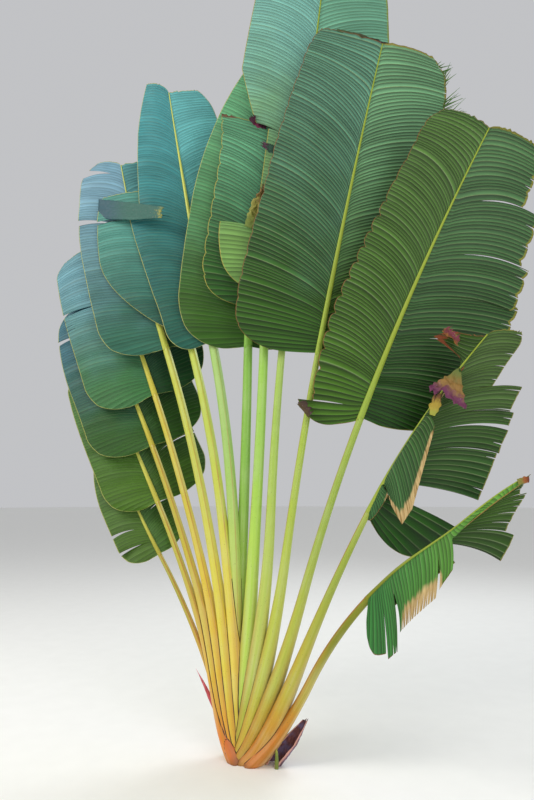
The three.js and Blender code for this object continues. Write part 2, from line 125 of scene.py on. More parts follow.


# %% [markdown]
# A leaf's own measures, in words:
#
# - `sweep` is how many degrees further out it leans right at the ground, and `depth` how far it
#   stands behind the fan's plane.
# - `radius` is half the stalk's width, `taper` the share of it that is left at the neck, and `clasp`
#   how high the sheath reaches.
# - `halves` are the widths of the left and the right half, and `turn` how far the blade is turned
#   about its midrib. `base`, `lobe`, `top` and `corner` shape the outline at the blade's two ends.
# - `slant` is the veins' angle to the midrib at six places up each half, and `base_slant` at the base.
# - `tears` are the places where each half is torn, `open` how wide they gape, `reach` how wide each
#   strip is, and `hang` up to which place the strips hang down.
# - `wane`, `scallops`, `nicks` and `dry` name a half, then where on it they start and end.
# - `ribs` is how strong the pleats are, and `edging` each half's margin: its colour and its width.
# - `tones` are the greens low and high on each half, the low ones greener and the high ones mostly
#   lighter and bluer, partly a painted reflection of the ground and of the sky, and `skin` the
#   stalk's colours upwards.

# %% The list of leaves
LEAVES = [
    make_leaf(
        "left_1", foot=-0.016, sweep=30.4, lean=(-12, -26.4, -36, -26), stalk=1.35, blade=0.9,
        halves=(0.24, 0.24), top=0.5, base_slant=(92, 92), radius=0.023, clasp=0.3, depth=0, turn=34,
        tears=((0.12, 0.26), (0.35, 0.68)),
        tones=("435d28", "52713c", "466531", "4b6e4c"), skin=("c4663c", "c09848", "9a9448"),
    ),
    make_leaf(
        "right_1", foot=0.064, sweep=8.4, lean=(40, 28.7, 44, 58), stalk=1.253, blade=1.05,
        blade_lean=(44, 47, 54.5, 55, 50, 53, 59), halves=(0.42, 0.31), radius=0.032, clasp=0.25,
        depth=-0.02, turn=24, hang=(1.1, 0.5),
        tears=((0.14, 0.25, 0.56, 0.64), (0.5, 0.58, 0.76)),
        reach=((0.98, 1.08, 0.86, 0.66, 0.1), (0.6, 1.15, 0.9, 0.75)),
        wane=((LEFT, 0.25, 0.56, 1, 0.85), (LEFT, 0.56, 0.64, 1, 0.8), (RIGHT, 0.76, 1.0, 1, 0.4)),
        ribs=0.65,
        nicks=((LEFT, 0.27, 0.55, 14, 0.75), (LEFT, 0.16, 0.24, 2, 0.85), (RIGHT, 0.6, 1.0, 12, 0.55)),
        dry=((LEFT, 0.24, 0.6, 0.4), (LEFT, 0.62, 1.04, 0.8)),
        edging=(*LEFT_OF_RIGHT, "8c8a3a", 0.006),
        slant=((86, 88, 102, 106, 95, 90), (80, 84, 76, 40, 22, 14)),
        tones=("396c3a", "588639", "253712", "39541f"), skin=("c06a2a", "a49440", "74782c"),
    ),
    make_leaf(
        "left_2", foot=-0.042, sweep=26, lean=(-9, -22.1, -29, -30), stalk=1.66, blade=1.13,
        halves=(0.34, 0.44), base_slant=(92, 92), radius=0.029, clasp=0.56, depth=0, turn=32,
        tears=((), (0.3, 0.6)),
        tones=("42601b", "4f7340", "3f5b28", "466b54"), skin=("cc7836", "c6a044", "a8a050"),
    ),
    make_leaf(
        "right_2", foot=0.012, sweep=33, lean=(22, 24.3, 29, 43), stalk=1.683, blade=1.19,
        halves=(0.42, 0.56), radius=0.03, taper=0.6, clasp=0.76, depth=-0.01, turn=24,
        hang=(0.85, -1), base=(0.62, 0.4), base_slant=(98, 130),
        tears=((0.2, 0.6, 0.85), (0.14, 0.2, 0.36, 0.46, 0.53, 0.66)),
        reach=((0.3, 1.05, 0.08, 0.62), (0.95, 0.1, 0.95, 1, 0.95, 0.86, 0.52)),
        wane=((LEFT, 0.2, 0.3, 0.35, 1), (LEFT, 0.38, 0.6, 1, 0.33), (LEFT, 0.85, 0.92, 0.2, 1)),
        ribs=0.8,
        nicks=((RIGHT, 0.2, 1.0, 10, 0.75), (LEFT, 0.9, 1.0, 3, 0.7)),
        dry=((LEFT, 0.12, 0.6, 0.64), (LEFT, 0.6, 1.04, 0.5)), dry_top="8a4a2c",
        edging=(*LEFT_OF_RIGHT, "8c8a3a", 0.006),
        slant=((60, 84, 82, 80, 92, 120), (116, 76, 58, 51, 46, 46)),
        tones=("3b5d38", "344b1e", "2a491e", "475e33"), skin=("bc7a30", "aca448", "8a9848"),
    ),
    make_leaf(
        "left_3", foot=-0.044, sweep=24, lean=(-7, -20.3, -26, -32), stalk=2.041, blade=1.29,
        halves=(0.42, 0.45), top=0.65, base_slant=(92, 92), radius=0.031, clasp=0.68, depth=0,
        turn=32, tears=((0.8,), (0.4,)),
        tones=("315125", "3f6774", "2e4b22", "44615d"), skin=("d08a38", "c4ac48", "a89c48"),
    ),
    make_leaf(
        "right_3", foot=-0.031, sweep=18, lean=(23, 17.4, 23, 30), stalk=2.181, blade=1.79,
        halves=(0.4, 0.54), base=(0.7, 0.5), lobe=(0.35, 0.15), base_slant=(124, 92),
        radius=0.032, clasp=0.73, depth=0, turn=27,
        tears=((0.05,), (0.32, 0.46, 0.6, 0.78)), reach=((1.3, 1), (1.06, 1.2, 1.15, 1.05, 0.82)),
        ribs=1,
        nicks=((RIGHT, 0.3, 0.98, 12, 0.88), (LEFT, 0.5, 0.95, 5, 0.94)),
        scallops=(
            (LEFT, 0.06, 0.62, 11, 0.07),
            (LEFT, 0.62, 0.98, 5, 0.025),
            (RIGHT, 0.3, 1.0, 13, 0.03),
        ),
        edging=(*LEFT_OF_RIGHT, "8f8a35", 0.014),
        slant=((90, 80, 70, 66, 66, 80), (88, 82, 78, 74, 72, 74)),
        tones=("3e5b27", "4b6738", "2b4816", "4a6a46"), skin=("b08a3c", "a8ac50", "889c4c"),
    ),
    make_leaf(
        "left_4", foot=-0.036, sweep=20, lean=(-6, -17.3, -23, -26), stalk=2.381, blade=1.33,
        halves=(0.47, 0.45), base_slant=(95, 95), radius=0.033, clasp=0.68, depth=0, turn=32,
        tears=((0.62,), ()), open=0.014, nicks=((LEFT, 0.5, 0.6, 3, 0.7),),
        tones=("37633a", "638e99", "244027", "466e6b"), skin=("d6a040", "ccb048", "b4a850"),
    ),
    make_leaf(
        "right_4", foot=-0.042, sweep=6, lean=(19, 9, 12, 15), stalk=2.505, blade=1.97,
        halves=(0.575, 0.57), base=(0.85, 0.8), top=(0.72, 0.76), corner=(0.03, 0.16),
        radius=0.032, taper=0.62, clasp=0.82, depth=0,
        turn=30, tears=((), (0.48,)), ribs=1,
        nicks=((RIGHT, 0.2, 0.98, 10, 0.92), (LEFT, 0.1, 0.98, 8, 0.96)),
        scallops=((LEFT, 0.05, 0.98, 17, 0.016), (RIGHT, 0.3, 0.98, 9, 0.02)),
        edging=(*LEFT_OF_RIGHT, "94863a", 0.012),
        slant=((88, 78, 68, 64, 66, 82), (84, 80, 78, 76, 76, 80)),
        tones=("355227", "58826d", "456324", "66916b"), skin=("b4a044", "acb458", "94a850"),
    ),
    make_leaf(
        "left_5", foot=-0.03, sweep=4, lean=(-7, -12.7, -21, -14), stalk=2.669, blade=1.56,
        halves=(0.44, 0.45), top=(0.74, 0.84), base_slant=(92, 92), radius=0.039, clasp=0.73,
        depth=0, turn=32, tears=((0.68, 0.93), ()), reach=((1, 1, 0.8), (1,)), open=0.028,
        slant=((80, 78, 78, 76, 66, 62), EVEN_SLANT),
        tones=("355f4f", "6f93a4", "254028", "5a9091"), skin=("cca844", "ccbe54", "acb058"),
    ),
    make_leaf(
        "right_5", foot=-0.033, sweep=-10, lean=(16, 3, 7, 8), stalk=2.877, blade=2.28,
        halves=(0.52, 0.56), top=(0.84, 0.72), radius=0.036, taper=0.6,
        clasp=0.9, depth=0, turn=30, tears=((0.16, 0.44), ()), reach=((0.97, 0.5, 1), (1,)), ribs=0.6,
        wane=((LEFT, 0.44, 0.58, 0.68, 1),),
        edging=("a8a044", 0.005, "8f9a40", 0.012),
        slant=((84, 76, 70, 66, 66, 78), (84, 80, 78, 76, 76, 80)),
        tones=("66894a", "6ea196", "4c7c58", "6ba085"), skin=("a0a048", "adb66b", "90ac58"),
    ),
    make_leaf(
        "left_6", foot=-0.021, sweep=-10, lean=(-7, -7.9, -18, -14), stalk=2.701, blade=1.15,
        halves=(0.52, 0.44), base=0.05, lobe=0.62, base_slant=(80, 80), radius=0.04, taper=0.7,
        depth=0, turn=32, tears=((0.84,), ()), corner=(0.05, 0.16),
        slant=((80, 78, 78, 78, 78, 72), EVEN_SLANT),
        tones=("1d4a3e", "4e867b", "1a2f27", "42706c"), skin=("b8a848", "d0bc5c", "a8b45c"),
    ),
    make_leaf(
        "right_6", foot=-0.008, sweep=-8, lean=(3, 3.8, 2, 15), stalk=2.81, blade=1.15,
        halves=(0.45, 0.45), base_slant=(94, 98), top=(1.08, 0.84), corner=(0, 0.16), radius=0.044,
        taper=0.65, clasp=0.8, depth=0.03, turn=30, ribs=0.8, edging=("b0a848", 0.005, "b0a848", 0.005),
        dry=((LEFT, 0.94, 1.04, 0.45),), dry_top="6a4c38",
        scallops=((LEFT, 0.1, 0.95, 9, 0.03),),
        slant=((80, 74, 70, 68, 70, 80), (84, 80, 78, 76, 76, 80)),
        tones=("2f5127", "59916f", "2a482a", "569182"), skin=("96a848", "acc364", "8cb45c"),
    ),
    make_leaf(
        "left_7", foot=-0.015, sweep=20, lean=(1, -3, -13, -11), stalk=2.621, blade=2.0,
        halves=(0.47, 0.4), base=0.6, lobe=0.5, lobe_power=1, top=(0.66, 0.7), corner=(0.03, 0.16),
        radius=0.043, taper=0.74, depth=0.02, turn=30, tears=((0.48,), ()), reach=((1, 0.8), (1,)),
        slant=((78, 78, 74, 64, 60, 42), (78, 78, 78, 78, 80, 84)),
        tones=("295448", "408185", "2d5a4f", "62a5a6"), skin=("a0a850", "b4c06c", "90b070"),
    ),
    make_leaf(
        "right_7", foot=-0.006, sweep=2, lean=(-8, 2.2, 1, 20), stalk=2.553, blade=1.93,
        halves=(0.5, 0.46), top=(0.55, 0.7), radius=0.042, taper=0.72, depth=0.065, turn=30, ribs=0.5,
        slant=((84, 80, 76, 72, 72, 80), (84, 80, 78, 78, 78, 80)),
        tones=("355424", "5f9a70", "39572a", "709f82"), skin=("90a850", "98ae58", "7aa454"),
    ),
]
for number, one in enumerate(LEAVES):
    one["wraps"] = len(LEAVES) - 1 - number
print(len(LEAVES), "leaves, the longest", max(one["stalk"] + one["blade"] for one in LEAVES), "m")

# %% [markdown]
# ## The midlines
#
# Everything on a leaf hangs on its midline, from the foot through the neck to the tip. It is walked
# in short steps, each in the direction in which the leaf leans there. Near the ground the older
# sheaths sweep outwards, and some leaves stand a little behind the plane of the fan.

# %% Walking a midline
STEP = 0.01
SWEEP_REACH = 0.18
OUT_OF_PLANE = (0.25, 0.95)


def along(values, share):
    """The value at a share of the way through a list of evenly spaced values."""
    place = min(max(share, 0.0), 1.0) * (len(values) - 1)
    i = min(int(place), len(values) - 2)
    return lerp(values[i], values[i + 1], place - i)


def lean_at(leaf, distance):
    foot, middle, neck, tip = leaf["lean"]
    if distance > leaf["stalk"]:
        return along(leaf.get("blade_lean", (neck, tip)), (distance - leaf["stalk"]) / leaf["blade"])
    sweep = leaf["side"] * leaf["sweep"] * math.exp(-distance / SWEEP_REACH)
    return along((foot, middle, neck), distance / leaf["stalk"]) + sweep


def walk(leaf):
    points = [Vector((leaf["foot"], 0, 0))]
    for i in range(math.ceil((leaf["stalk"] + leaf["blade"]) / STEP) + 2):
        lean = math.radians(lean_at(leaf, (i + 0.5) * STEP))
        point = points[-1] + STEP * Vector((math.sin(lean), 0, math.cos(lean)))
        point.y = leaf["depth"] * smooth((i + 1) * STEP, *OUT_OF_PLANE)
        points.append(point)
    return points


def station(leaf, distance):
    """The point at a distance from the foot, with the directions up the leaf and to its right."""
    i = min(max(int(distance / STEP), 0), len(leaf["midline"]) - 2)
    point = leaf["midline"][i].lerp(leaf["midline"][i + 1], distance / STEP - i)
    lean = math.radians(lean_at(leaf, distance))
    up = Vector((math.sin(lean), 0, math.cos(lean)))
    right = Vector((math.cos(lean), 0, -math.sin(lean)))
    return point, up, right


for one in LEAVES:
    one["midline"] = walk(one)
print("The highest tip is", round(max(one["midline"][-1].z for one in LEAVES), 2), "m up")

# %% [markdown]
# ## Nodes as sums
#
# A finish is a small calculation at each point of a surface. Built by hand it is a web of nodes that
# nobody can read, so one small class wraps a socket and lets Python's own signs add the Math nodes.
# Every other node comes from the one method of the finish that it belongs to.

# %% A socket in a sum
class Wire:
    """A value in a finish. Sums with other wires or with numbers give new wires."""

    def __init__(self, finish, socket):
        self.finish = finish
        self.socket = socket

    def maths(self, operation, *values):
        return self.finish.node("ShaderNodeMath", {"operation": operation}, values)

    def __add__(self, other):
        return self.maths("ADD", self, other)

    def __radd__(self, other):
        return self.maths("ADD", other, self)

    def __sub__(self, other):
        return self.maths("SUBTRACT", self, other)

    def __rsub__(self, other):
        return self.maths("SUBTRACT", other, self)

    def __mul__(self, other):
        return self.maths("MULTIPLY", self, other)

    def __rmul__(self, other):
        return self.maths("MULTIPLY", other, self)

    def cosine(self):
        return self.maths("COSINE", self)

    def below(self, low, high):
        """1 where the value is under low, 0 where it is over high, and soft in between."""
        settings = {"interpolation_type": "SMOOTHSTEP"}
        return self.finish.node("ShaderNodeMapRange", settings, (self, low, high, 1.0, 0.0))

    def above(self, low, high):
        return 1 - self.below(low, high)


# %% A finish and its one method
class Finish:
    """A material whose nodes are added by one method."""

    def __init__(self, name, **constants):
        self.material = bpy.data.materials.new(name)
        self.material.use_nodes = True
        self.tree = self.material.node_tree
        self.shader = self.tree.nodes["Principled BSDF"]
        for socket, value in constants.items():
            self.shader.inputs[socket.replace("_", " ")].default_value = value

    def node(self, kind, settings=None, values=(), output=0):
        """Adds a node: first its settings, then the values or wires of its sockets, in order."""
        node = self.tree.nodes.new(kind)
        for setting, value in (settings or {}).items():
            setattr(node, setting, value)
        named = values.items() if isinstance(values, dict) else enumerate(values)
        for socket, value in named:
            self.feed(node.inputs[socket], value)
        return Wire(self, node.outputs[output])

    def feed(self, socket, value):
        if isinstance(value, Wire):
            self.tree.links.new(value.socket, socket)
        elif socket.type == "RGBA" and len(value) == 3:
            socket.default_value = (*value, 1)
        else:
            socket.default_value = value

    def read(self, name):
        """A value that the mesh carries for each of its points."""
        return self.node("ShaderNodeAttribute", {"attribute_name": name}, output="Fac")

    def vector(self, x, y, z=0.0):
        return self.node("ShaderNodeCombineXYZ", values=(x, y, z))

    def noise(self, vector, scale, detail=2.0, roughness=0.5):
        values = {"Vector": vector, "Scale": scale, "Detail": detail, "Roughness": roughness}
        return self.node("ShaderNodeTexNoise", values=values)

    def place(self):
        return self.node("ShaderNodeTexCoord", output="Object")

    def stretched(self, scale, rotation=(0, 0, 0)):
        """The place, stretched and turned, for a grain that runs one way."""
        values = {"Vector": self.place(), "Rotation": rotation, "Scale": scale}
        return self.node("ShaderNodeMapping", values=values)

    def mix(self, share, a, b, blend="MIX"):
        """A colour between two colours. The sockets are the Mix node's factor and its two colours."""
        settings = {"data_type": "RGBA", "blend_type": blend, "clamp_factor": True}
        return self.node("ShaderNodeMix", settings, {0: share, 6: a, 7: b}, output=2)

    def finish(self, colour, roughness, height=None, relief=0.001):
        """Feeds the shader. Height is a value whose rises show as bumps of that many metres."""
        self.feed(self.shader.inputs["Base Color"], colour)
        self.feed(self.shader.inputs["Roughness"], roughness)
        if height is not None:
            values = {"Strength": 1.0, "Distance": relief, "Height": height}
            self.feed(self.shader.inputs["Normal"], self.node("ShaderNodeBump", values=values))
        return self.material


# %% [markdown]
# ## Pieces
#
# A piece is a mesh shaped by bmesh operators. Once its points are where they belong, it becomes an
# object that stands at the origin, moves with the plant and takes the place of its plain node.

# %% From a bmesh to a piece
def piece(name, shape, material, node=None, thickness=0.0):
    """Makes an object of a bmesh, in place of a plain node if one is named."""
    mesh = bpy.data.meshes.new(name)
    shape.to_mesh(mesh)
    shape.free()
    mesh.materials.append(material)
    mesh.shade_smooth()
    made = bpy.data.objects.new(name, mesh)
    bpy.context.scene.collection.objects.link(made)
    if thickness:
        wall = made.modifiers.new("wall", "SOLIDIFY")
        wall.thickness = thickness
        wall.offset = 0
    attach(made, "root")
    if node:
        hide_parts(node)
    return made


def carry(shape, names):
    """Gives each point of a bmesh room for named values."""
    return [shape.verts.layers.float.new(name) for name in names]


# %% [markdown]
# ## Blades
#
# A blade of this plant has one strong midrib. Hundreds of parallel veins leave it on both sides and
# run out to the margin, and the skin between them is pleated like a fan, because the blade was
# rolled up when it was young. So a blade is a grid whose rows are veins. Each row leaves the midrib
# at a share of its length, and its points follow the vein out to the margin.
# Wind tears a blade between two veins. There the grid gets two rows at one place, and the faces
# between them go from the tear's root outwards, which parts the strips.

# %% The blade's outline
LOBE_SHARE = 0.15
ROUND_SHARE = 0.07
ROUND_START = 0.35
TAPER_FROM = 0.45
CORNER_FROM = 0.9


def of_half(leaf, key, half):
    """A measure of one half. A leaf states one number for both halves, or one for each."""
    value = leaf[key]
    return value[half] if isinstance(value, tuple) else value


def outline(leaf, half, share):
    """The width of a half at a share of the blade's length, as a share of the widest."""
    to_lobe = max(0.0, 1 - share / of_half(leaf, "lobe", half))
    lobe = (1 - of_half(leaf, "base", half)) * to_lobe ** leaf["lobe_power"]
    beyond = max(0.0, share - TAPER_FROM) / (1 - TAPER_FROM)
    taper = (1 - of_half(leaf, "top", half)) * beyond**2
    near_end = max(0.0, share - CORNER_FROM) / (1 - CORNER_FROM)
    corner = of_half(leaf, "corner", half) * near_end**2
    to_round = 1 - min(share / ROUND_SHARE, 1)
    rounding = lerp(ROUND_START, 1, math.sqrt(1 - to_round**2))
    return (1 - lobe) * rounding - taper - corner


# %% Tears and nicks
TEAR_ROOT = 0.34
LOOSE_ROOT = 0.03
NICK_OPEN = 0.003
NICK_START = 0.2
NICK_JITTER = 0.6
NICK_SHORTENING = 0.6
SAME_TEAR = 0.01
STRIPS_JOIN = 0.8
SLIT = 0.0004


def tears_of(leaf, half):
    """A half's tears and small nicks: at which share, how far out their root is, how wide they open."""
    found = []
    for tear in leaf["tears"][half]:
        root = LOOSE_ROOT if abs(tear - leaf["hang"][half]) < SAME_TEAR else TEAR_ROOT
        found.append((tear, root, leaf["open"]))
    for nicked, start, end, count, root in leaf["nicks"]:
        for i in range(count if nicked == half else 0):
            chance = leaf["wraps"] * 31 + nicked * 17 + i
            share = lerp(start, end, (i + NICK_START + NICK_JITTER * scatter(chance)) / count)
            end_root = lerp(root, 1, NICK_SHORTENING * scatter(chance + 0.3))
            found.append((share, end_root, NICK_OPEN))
    return sorted(found)


def strip_of(leaf, half, share):
    return sum(tear < share for tear in leaf["tears"][half])


def strip_reach(leaf, half, out, share):
    """A strip's own reach beyond the tears' roots, and an even change along the midrib."""
    values = leaf["reach"][half]
    edges = (0, *leaf["tears"][half], 1)
    strip = strip_of(leaf, half, share)
    own = values[min(strip, len(values) - 1)]
    middle = (edges[strip] + edges[strip + 1]) / 2
    other = min(max(strip + (1 if share > middle else -1), 0), len(edges) - 2)
    if other == strip:
        return own
    far = abs(share - middle) / abs((edges[other] + edges[other + 1]) / 2 - middle)
    joined = lerp(own, values[min(other, len(values) - 1)], far)
    return lerp(joined, own, smooth(out, LOOSE_ROOT, STRIPS_JOIN))


def vein_length(leaf, half, out, share):
    """The length of a vein from the midrib to the margin. Some strips are narrower at one end."""
    kept = 1.0
    for waning, start, end, first, last in leaf["wane"]:
        if waning == half and start <= share <= end:
            kept = lerp(first, last, (share - start) / (end - start))
    for scalloped, start, end, count, depth in leaf["scallops"]:
        if scalloped == half and start <= share <= end:
            swing = abs(math.sin(math.pi * count * (share - start) / (end - start)))
            kept -= depth * (1 - swing) ** 2
    reach = strip_reach(leaf, half, out, share)
    return leaf["halves"][half] * outline(leaf, half, share) * reach * kept


# %% [markdown]
# The skin's relief has three sizes: the pleats between the veins, soft folds a quarter of a metre
# apart, and the frill of the margin. All are small moves towards the viewer or away.

# %% The relief of the skin
RIB_PITCH = 0.022
RIB_DEPTH = 0.0018
RIB_UNEVENNESS = 0.9
RIB_WANDERING = 14
RIBS_BEGIN = (0.02, 0.14)
RIB_GROWTH = (0.75, 1.25)
FOLD_DEPTH = 0.016
FOLD_PITCH = 0.24
FOLDS_ACROSS = 1.5
FRILL_DEPTH = 0.006
FRILL_PITCH = 0.1
FRILL_POWER = 4
FRILL_SLICE = 7.5


def rib_count(leaf, share):
    """How many ribs lie below a share, with a little irregularity."""
    distance = share * leaf["blade"]
    wandering = noise.noise(Vector((distance * RIB_WANDERING, leaf["wraps"], 0)))
    return distance / RIB_PITCH + RIB_UNEVENNESS * wandering


def relief(leaf, half, out, share):
    distance = share * leaf["blade"]
    seed = leaf["wraps"] * 3 + half
    ridge = math.cos(2 * math.pi * rib_count(leaf, share))
    ribs = RIB_DEPTH * leaf["ribs"] * ridge * smooth(out, *RIBS_BEGIN) * lerp(*RIB_GROWTH, out)
    folds = FOLD_DEPTH * out * noise.noise(Vector((distance / FOLD_PITCH, out * FOLDS_ACROSS, seed)))
    swing = noise.noise(Vector((distance / FRILL_PITCH, FRILL_SLICE, seed)))
    frill = FRILL_DEPTH * swing * out**FRILL_POWER
    return ribs + folds + frill


# %% [markdown]
# One function places a point of the blade. It starts on the midrib, goes out along the vein, folds
# back a little and curls, and where the leaf is broken it lets the strip hang straight down.

# %% The moves of a vein
VEIN_START_POWER = 0.6
VEIN_SWEEP = 0.2
SWEEP_POWER = 1.8
SWEEP_GROWS = 0.3
SWEEP_ENDS = 0.25
FOLD = 0.1
CURL = 0.1
STRIP_SAG = 0.1
STRIP_LIFT = 0.07
SHINGLE = 0.012
HANG_BEND = 0.07
HANG_CLEARANCE = 0.13
OPENING_FADES = 3
LEAST_OPEN = 0.01
RAGGED_FROM = 0.985
RAGGED = 0.016
JAGS_ACROSS = 22
JAGS_BEGIN = (0.02, 0.1)


def root_share(leaf, half, out, share):
    """Where on the midrib a vein's point belongs: veins leave the midrib steeply and bend outwards."""
    sweep = VEIN_SWEEP * leaf["halves"][half] / leaf["blade"] * (1 - out) ** SWEEP_POWER
    return share - sweep * smooth(share, 0.0, SWEEP_GROWS) * smooth(1 - share, 0.0, SWEEP_ENDS)


def tears_of_half(leaf, half):
    """The tears of a half, worked out once."""
    if "torn" not in leaf:
        leaf["torn"] = [tears_of(leaf, LEFT), tears_of(leaf, RIGHT)]
    return leaf["torn"][half]


def tear_pull(leaf, half, out, share):
    """How far a tear nearby pushes a point up or down along the midrib, in metres."""
    pull = 0.0
    for tear, root, width in tears_of_half(leaf, half):
        near = (share - tear) * leaf["blade"]
        fading = OPENING_FADES * max(width, LEAST_OPEN)
        if abs(near) < fading and out > root:
            fade = (1 - abs(near) / fading) * (out - root) / (1 - root)
            pull += math.copysign(width, near) * fade
    return pull


def strip_moves(leaf, half, out, share):
    """How far a torn strip sags, how far it lifts off and how far it lies ahead of its neighbour."""
    if not leaf["tears"][half]:
        return 0.0, 0.0, 0.0
    strip = strip_of(leaf, half, share)
    edges = (0, *leaf["tears"][half], 1)
    across = 2 * (share - edges[strip]) / (edges[strip + 1] - edges[strip]) - 1
    chance = strip + 10 * leaf["wraps"] + (0 if half else 5)
    torn = max(0.0, (out - LOOSE_ROOT) / (1 - LOOSE_ROOT)) ** 2
    sag = STRIP_SAG * torn * scatter(chance)
    lift = STRIP_LIFT * torn * (2 * scatter(chance + 0.5) - 1)
    return sag, lift, SHINGLE * across * torn


# %% A point of a blade
def blade_point(leaf, half, out, share):
    sign = 1 if half else -1
    rooted = root_share(leaf, half, out, share)
    point, up, right = station(leaf, leaf["stalk"] + rooted * leaf["blade"])
    turn = math.radians(leaf["turn"])
    lateral = right * math.cos(turn) + BACK * math.sin(turn)
    facing = right * math.sin(turn) - BACK * math.cos(turn)
    length = vein_length(leaf, half, out, share)
    spreading = max(0.0, 1 - share / LOBE_SHARE) ** 2
    slant = math.radians(lerp(along(leaf["slant"][half], share), leaf["base_slant"][half], spreading))
    pull = tear_pull(leaf, half, out, share)
    height = relief(leaf, half, out, share)
    if share <= leaf["hang"][half]:
        drop = out - HANG_BEND * (1 - math.exp(-out / HANG_BEND))
        clear = HANG_CLEARANCE * (1 - math.exp(-out / HANG_BEND))
        place = point + BACK * (length * sign * clear) + up * (length * math.cos(slant) * out + pull)
        return place + DOWN * (length * drop) - BACK * height
    sag, lift, shingle = strip_moves(leaf, half, out, share)
    forward = height - shingle - length * (FOLD * out + CURL * out * out + lift)
    rise = length * (math.cos(slant) * out**VEIN_START_POWER - sag) + pull
    if share > RAGGED_FROM:
        jag = noise.noise(Vector((out * JAGS_ACROSS, leaf["wraps"] * 5 + half, 3)))
        rise += RAGGED * jag * (share - RAGGED_FROM) / (1 - RAGGED_FROM) * smooth(out, *JAGS_BEGIN)
    return point + up * rise + lateral * (sign * length * math.sin(slant) * out) + facing * forward


# %% [markdown]
# The mesh also tells its finish where on the leaf each point lies: which rib it is on, how far out
# it is, how far up the blade, how near a margin or a tear, and how dry the leaf is there.

# %% What a point carries
BASE_EDGE = 0.003
BASE_EDGING = 0.004
DRY_FADE = 0.08
DRY_END_FADE = 0.04


def edge_distance(leaf, half, out, share):
    """The distance in metres to the nearest margin, tear or end of the blade."""
    near = [margin_distance(leaf, half, out, share)]
    for tear, root, _ in tears_of_half(leaf, half):
        if out > root:
            near.append(abs(share - tear) * leaf["blade"])
    return min(near)


def margin_distance(leaf, half, out, share):
    """The distance in metres to the outer margin or to an end of the blade."""
    length = vein_length(leaf, half, out, share)
    return min((1 - out) * length, (1 - share) * leaf["blade"], share * leaf["blade"] + BASE_EDGE)


def margin_widths(leaf, half, out, share):
    """The distance to the coloured margin's middle, counted in the margin's own widths."""
    width = leaf["edging"][2 * half + 1]
    outer = (1 - out) * vein_length(leaf, half, out, share)
    top = (1 - share) * leaf["blade"]
    base = share * leaf["blade"] + BASE_EDGE
    return min(outer / width, top / width, base / BASE_EDGING)


def dryness(leaf, half, out, share):
    """How dry the leaf is, from 0 to 1, on the patches that it states."""
    dry = 0.0
    for dried, start, end, inner in leaf["dry"]:
        if dried == half and start < share < end:
            fade = smooth(share, start, start + DRY_FADE)
            fade *= smooth(1 - share, 1 - end, 1 - end + DRY_END_FADE)
            dry = max(dry, fade * smooth(out, inner, 1.0))
    return dry


# %% The blade as a grid of veins
ROW_STEP = RIB_PITCH / 4.5
COLUMNS = 22
MARGIN_CROWDING = 1.3
ROUND_ROWS = 24
ON_A_ROW = 1e-3


def blade_rows(leaf):
    """The shares at which the blade has a row of points, two of them at each tear."""
    slit = SLIT / leaf["blade"]
    tears = [tear for half in (LEFT, RIGHT) for tear, _, _ in tears_of_half(leaf, half)]
    count = round(leaf["blade"] / ROW_STEP)
    even = [i / count for i in range(count + 1) if i / count > ROUND_SHARE]
    even += [ROUND_SHARE * (i / ROUND_ROWS) ** 2 for i in range(ROUND_ROWS + 1)]
    clear = [share for share in even if all(abs(share - tear) > 3 * slit for tear in tears)]
    return sorted(clear + [tear - slit for tear in tears] + [tear + slit for tear in tears])


def blade_shape(leaf):
    rows = blade_rows(leaf)
    shape = bmesh.new()
    bmesh.ops.create_grid(shape, x_segments=2 * COLUMNS, y_segments=len(rows) - 1, size=1)

    def spot(corner):
        """The half, the share outwards and the share upwards that a point of the plain grid means."""
        half = RIGHT if corner.x > 0 else LEFT
        place = (corner.y + 1) / 2 * (len(rows) - 1)
        row = min(int(place + ON_A_ROW), len(rows) - 2)
        share = lerp(rows[row], rows[row + 1], place - row)
        return half, 1 - (1 - min(abs(corner.x), 1.0)) ** MARGIN_CROWDING, share

    slit = SLIT / leaf["blade"]
    parted = []
    for face in shape.faces:
        half, out, share = spot(face.calc_center_median())
        tears = tears_of_half(leaf, half)
        if any(abs(share - tear) < slit and out > root for tear, root, _ in tears):
            parted.append(face)
    bmesh.ops.delete(shape, geom=parted, context="FACES")
    layers = carry(shape, ("rib", "across", "upward", "margin", "edge", "dry"))
    for corner in shape.verts:
        half, out, share = spot(corner.co)
        told = (
            rib_count(leaf, share),
            out if half else -out,
            share,
            margin_widths(leaf, half, out, share),
            edge_distance(leaf, half, out, share),
            dryness(leaf, half, out, share),
        )
        for layer, value in zip(layers, told):
            corner[layer] = value
        corner.co = blade_point(leaf, half, out, share)
    return shape


# %% [markdown]
# ## The finish of a blade
#
# A living blade is not one green, and its finish also paints light and shade. Each rib is painted
# lighter just above its vein and darker just below it, as light from above falls on the pleats,
# with a painted highlight along the ridge. The blade is greener low down and bluer higher up, partly
# a painted reflection of the ground and of the sky, and mottled. Fine veins run between the ribs.
# The margin is a thin yellow line that dries to brown, and dry skin is the colour of straw, in
# streaks that follow the veins.

# %% The colours of a blade
STRAW = paint("cbb07c")
STRAW_SHADE = paint("96743e")
DRY_BROWN = paint("5e3a1e")
# The colour of the painted highlight along the ridge of each rib.
RIDGE_HIGHLIGHT = paint("a9c088")
VEINS_PER_RIB = 5
# The next two paint light and shade on the pleats.
RIB_PAINTED_LIGHT = 0.46
RIB_PAINTED_SHADE = 1.25
# How strong the painted highlight along each ridge is.
RIDGE_HIGHLIGHT_STRENGTH = 0.66
RIB_SWING = 0.44
VEIN_SWING = 0.1
BAND_SWING = 0.6
STREAK_SWING = 0.4
SHEEN = 0.018
DEEPENING = 1.25
LEAF_RELIEF = 0.0026


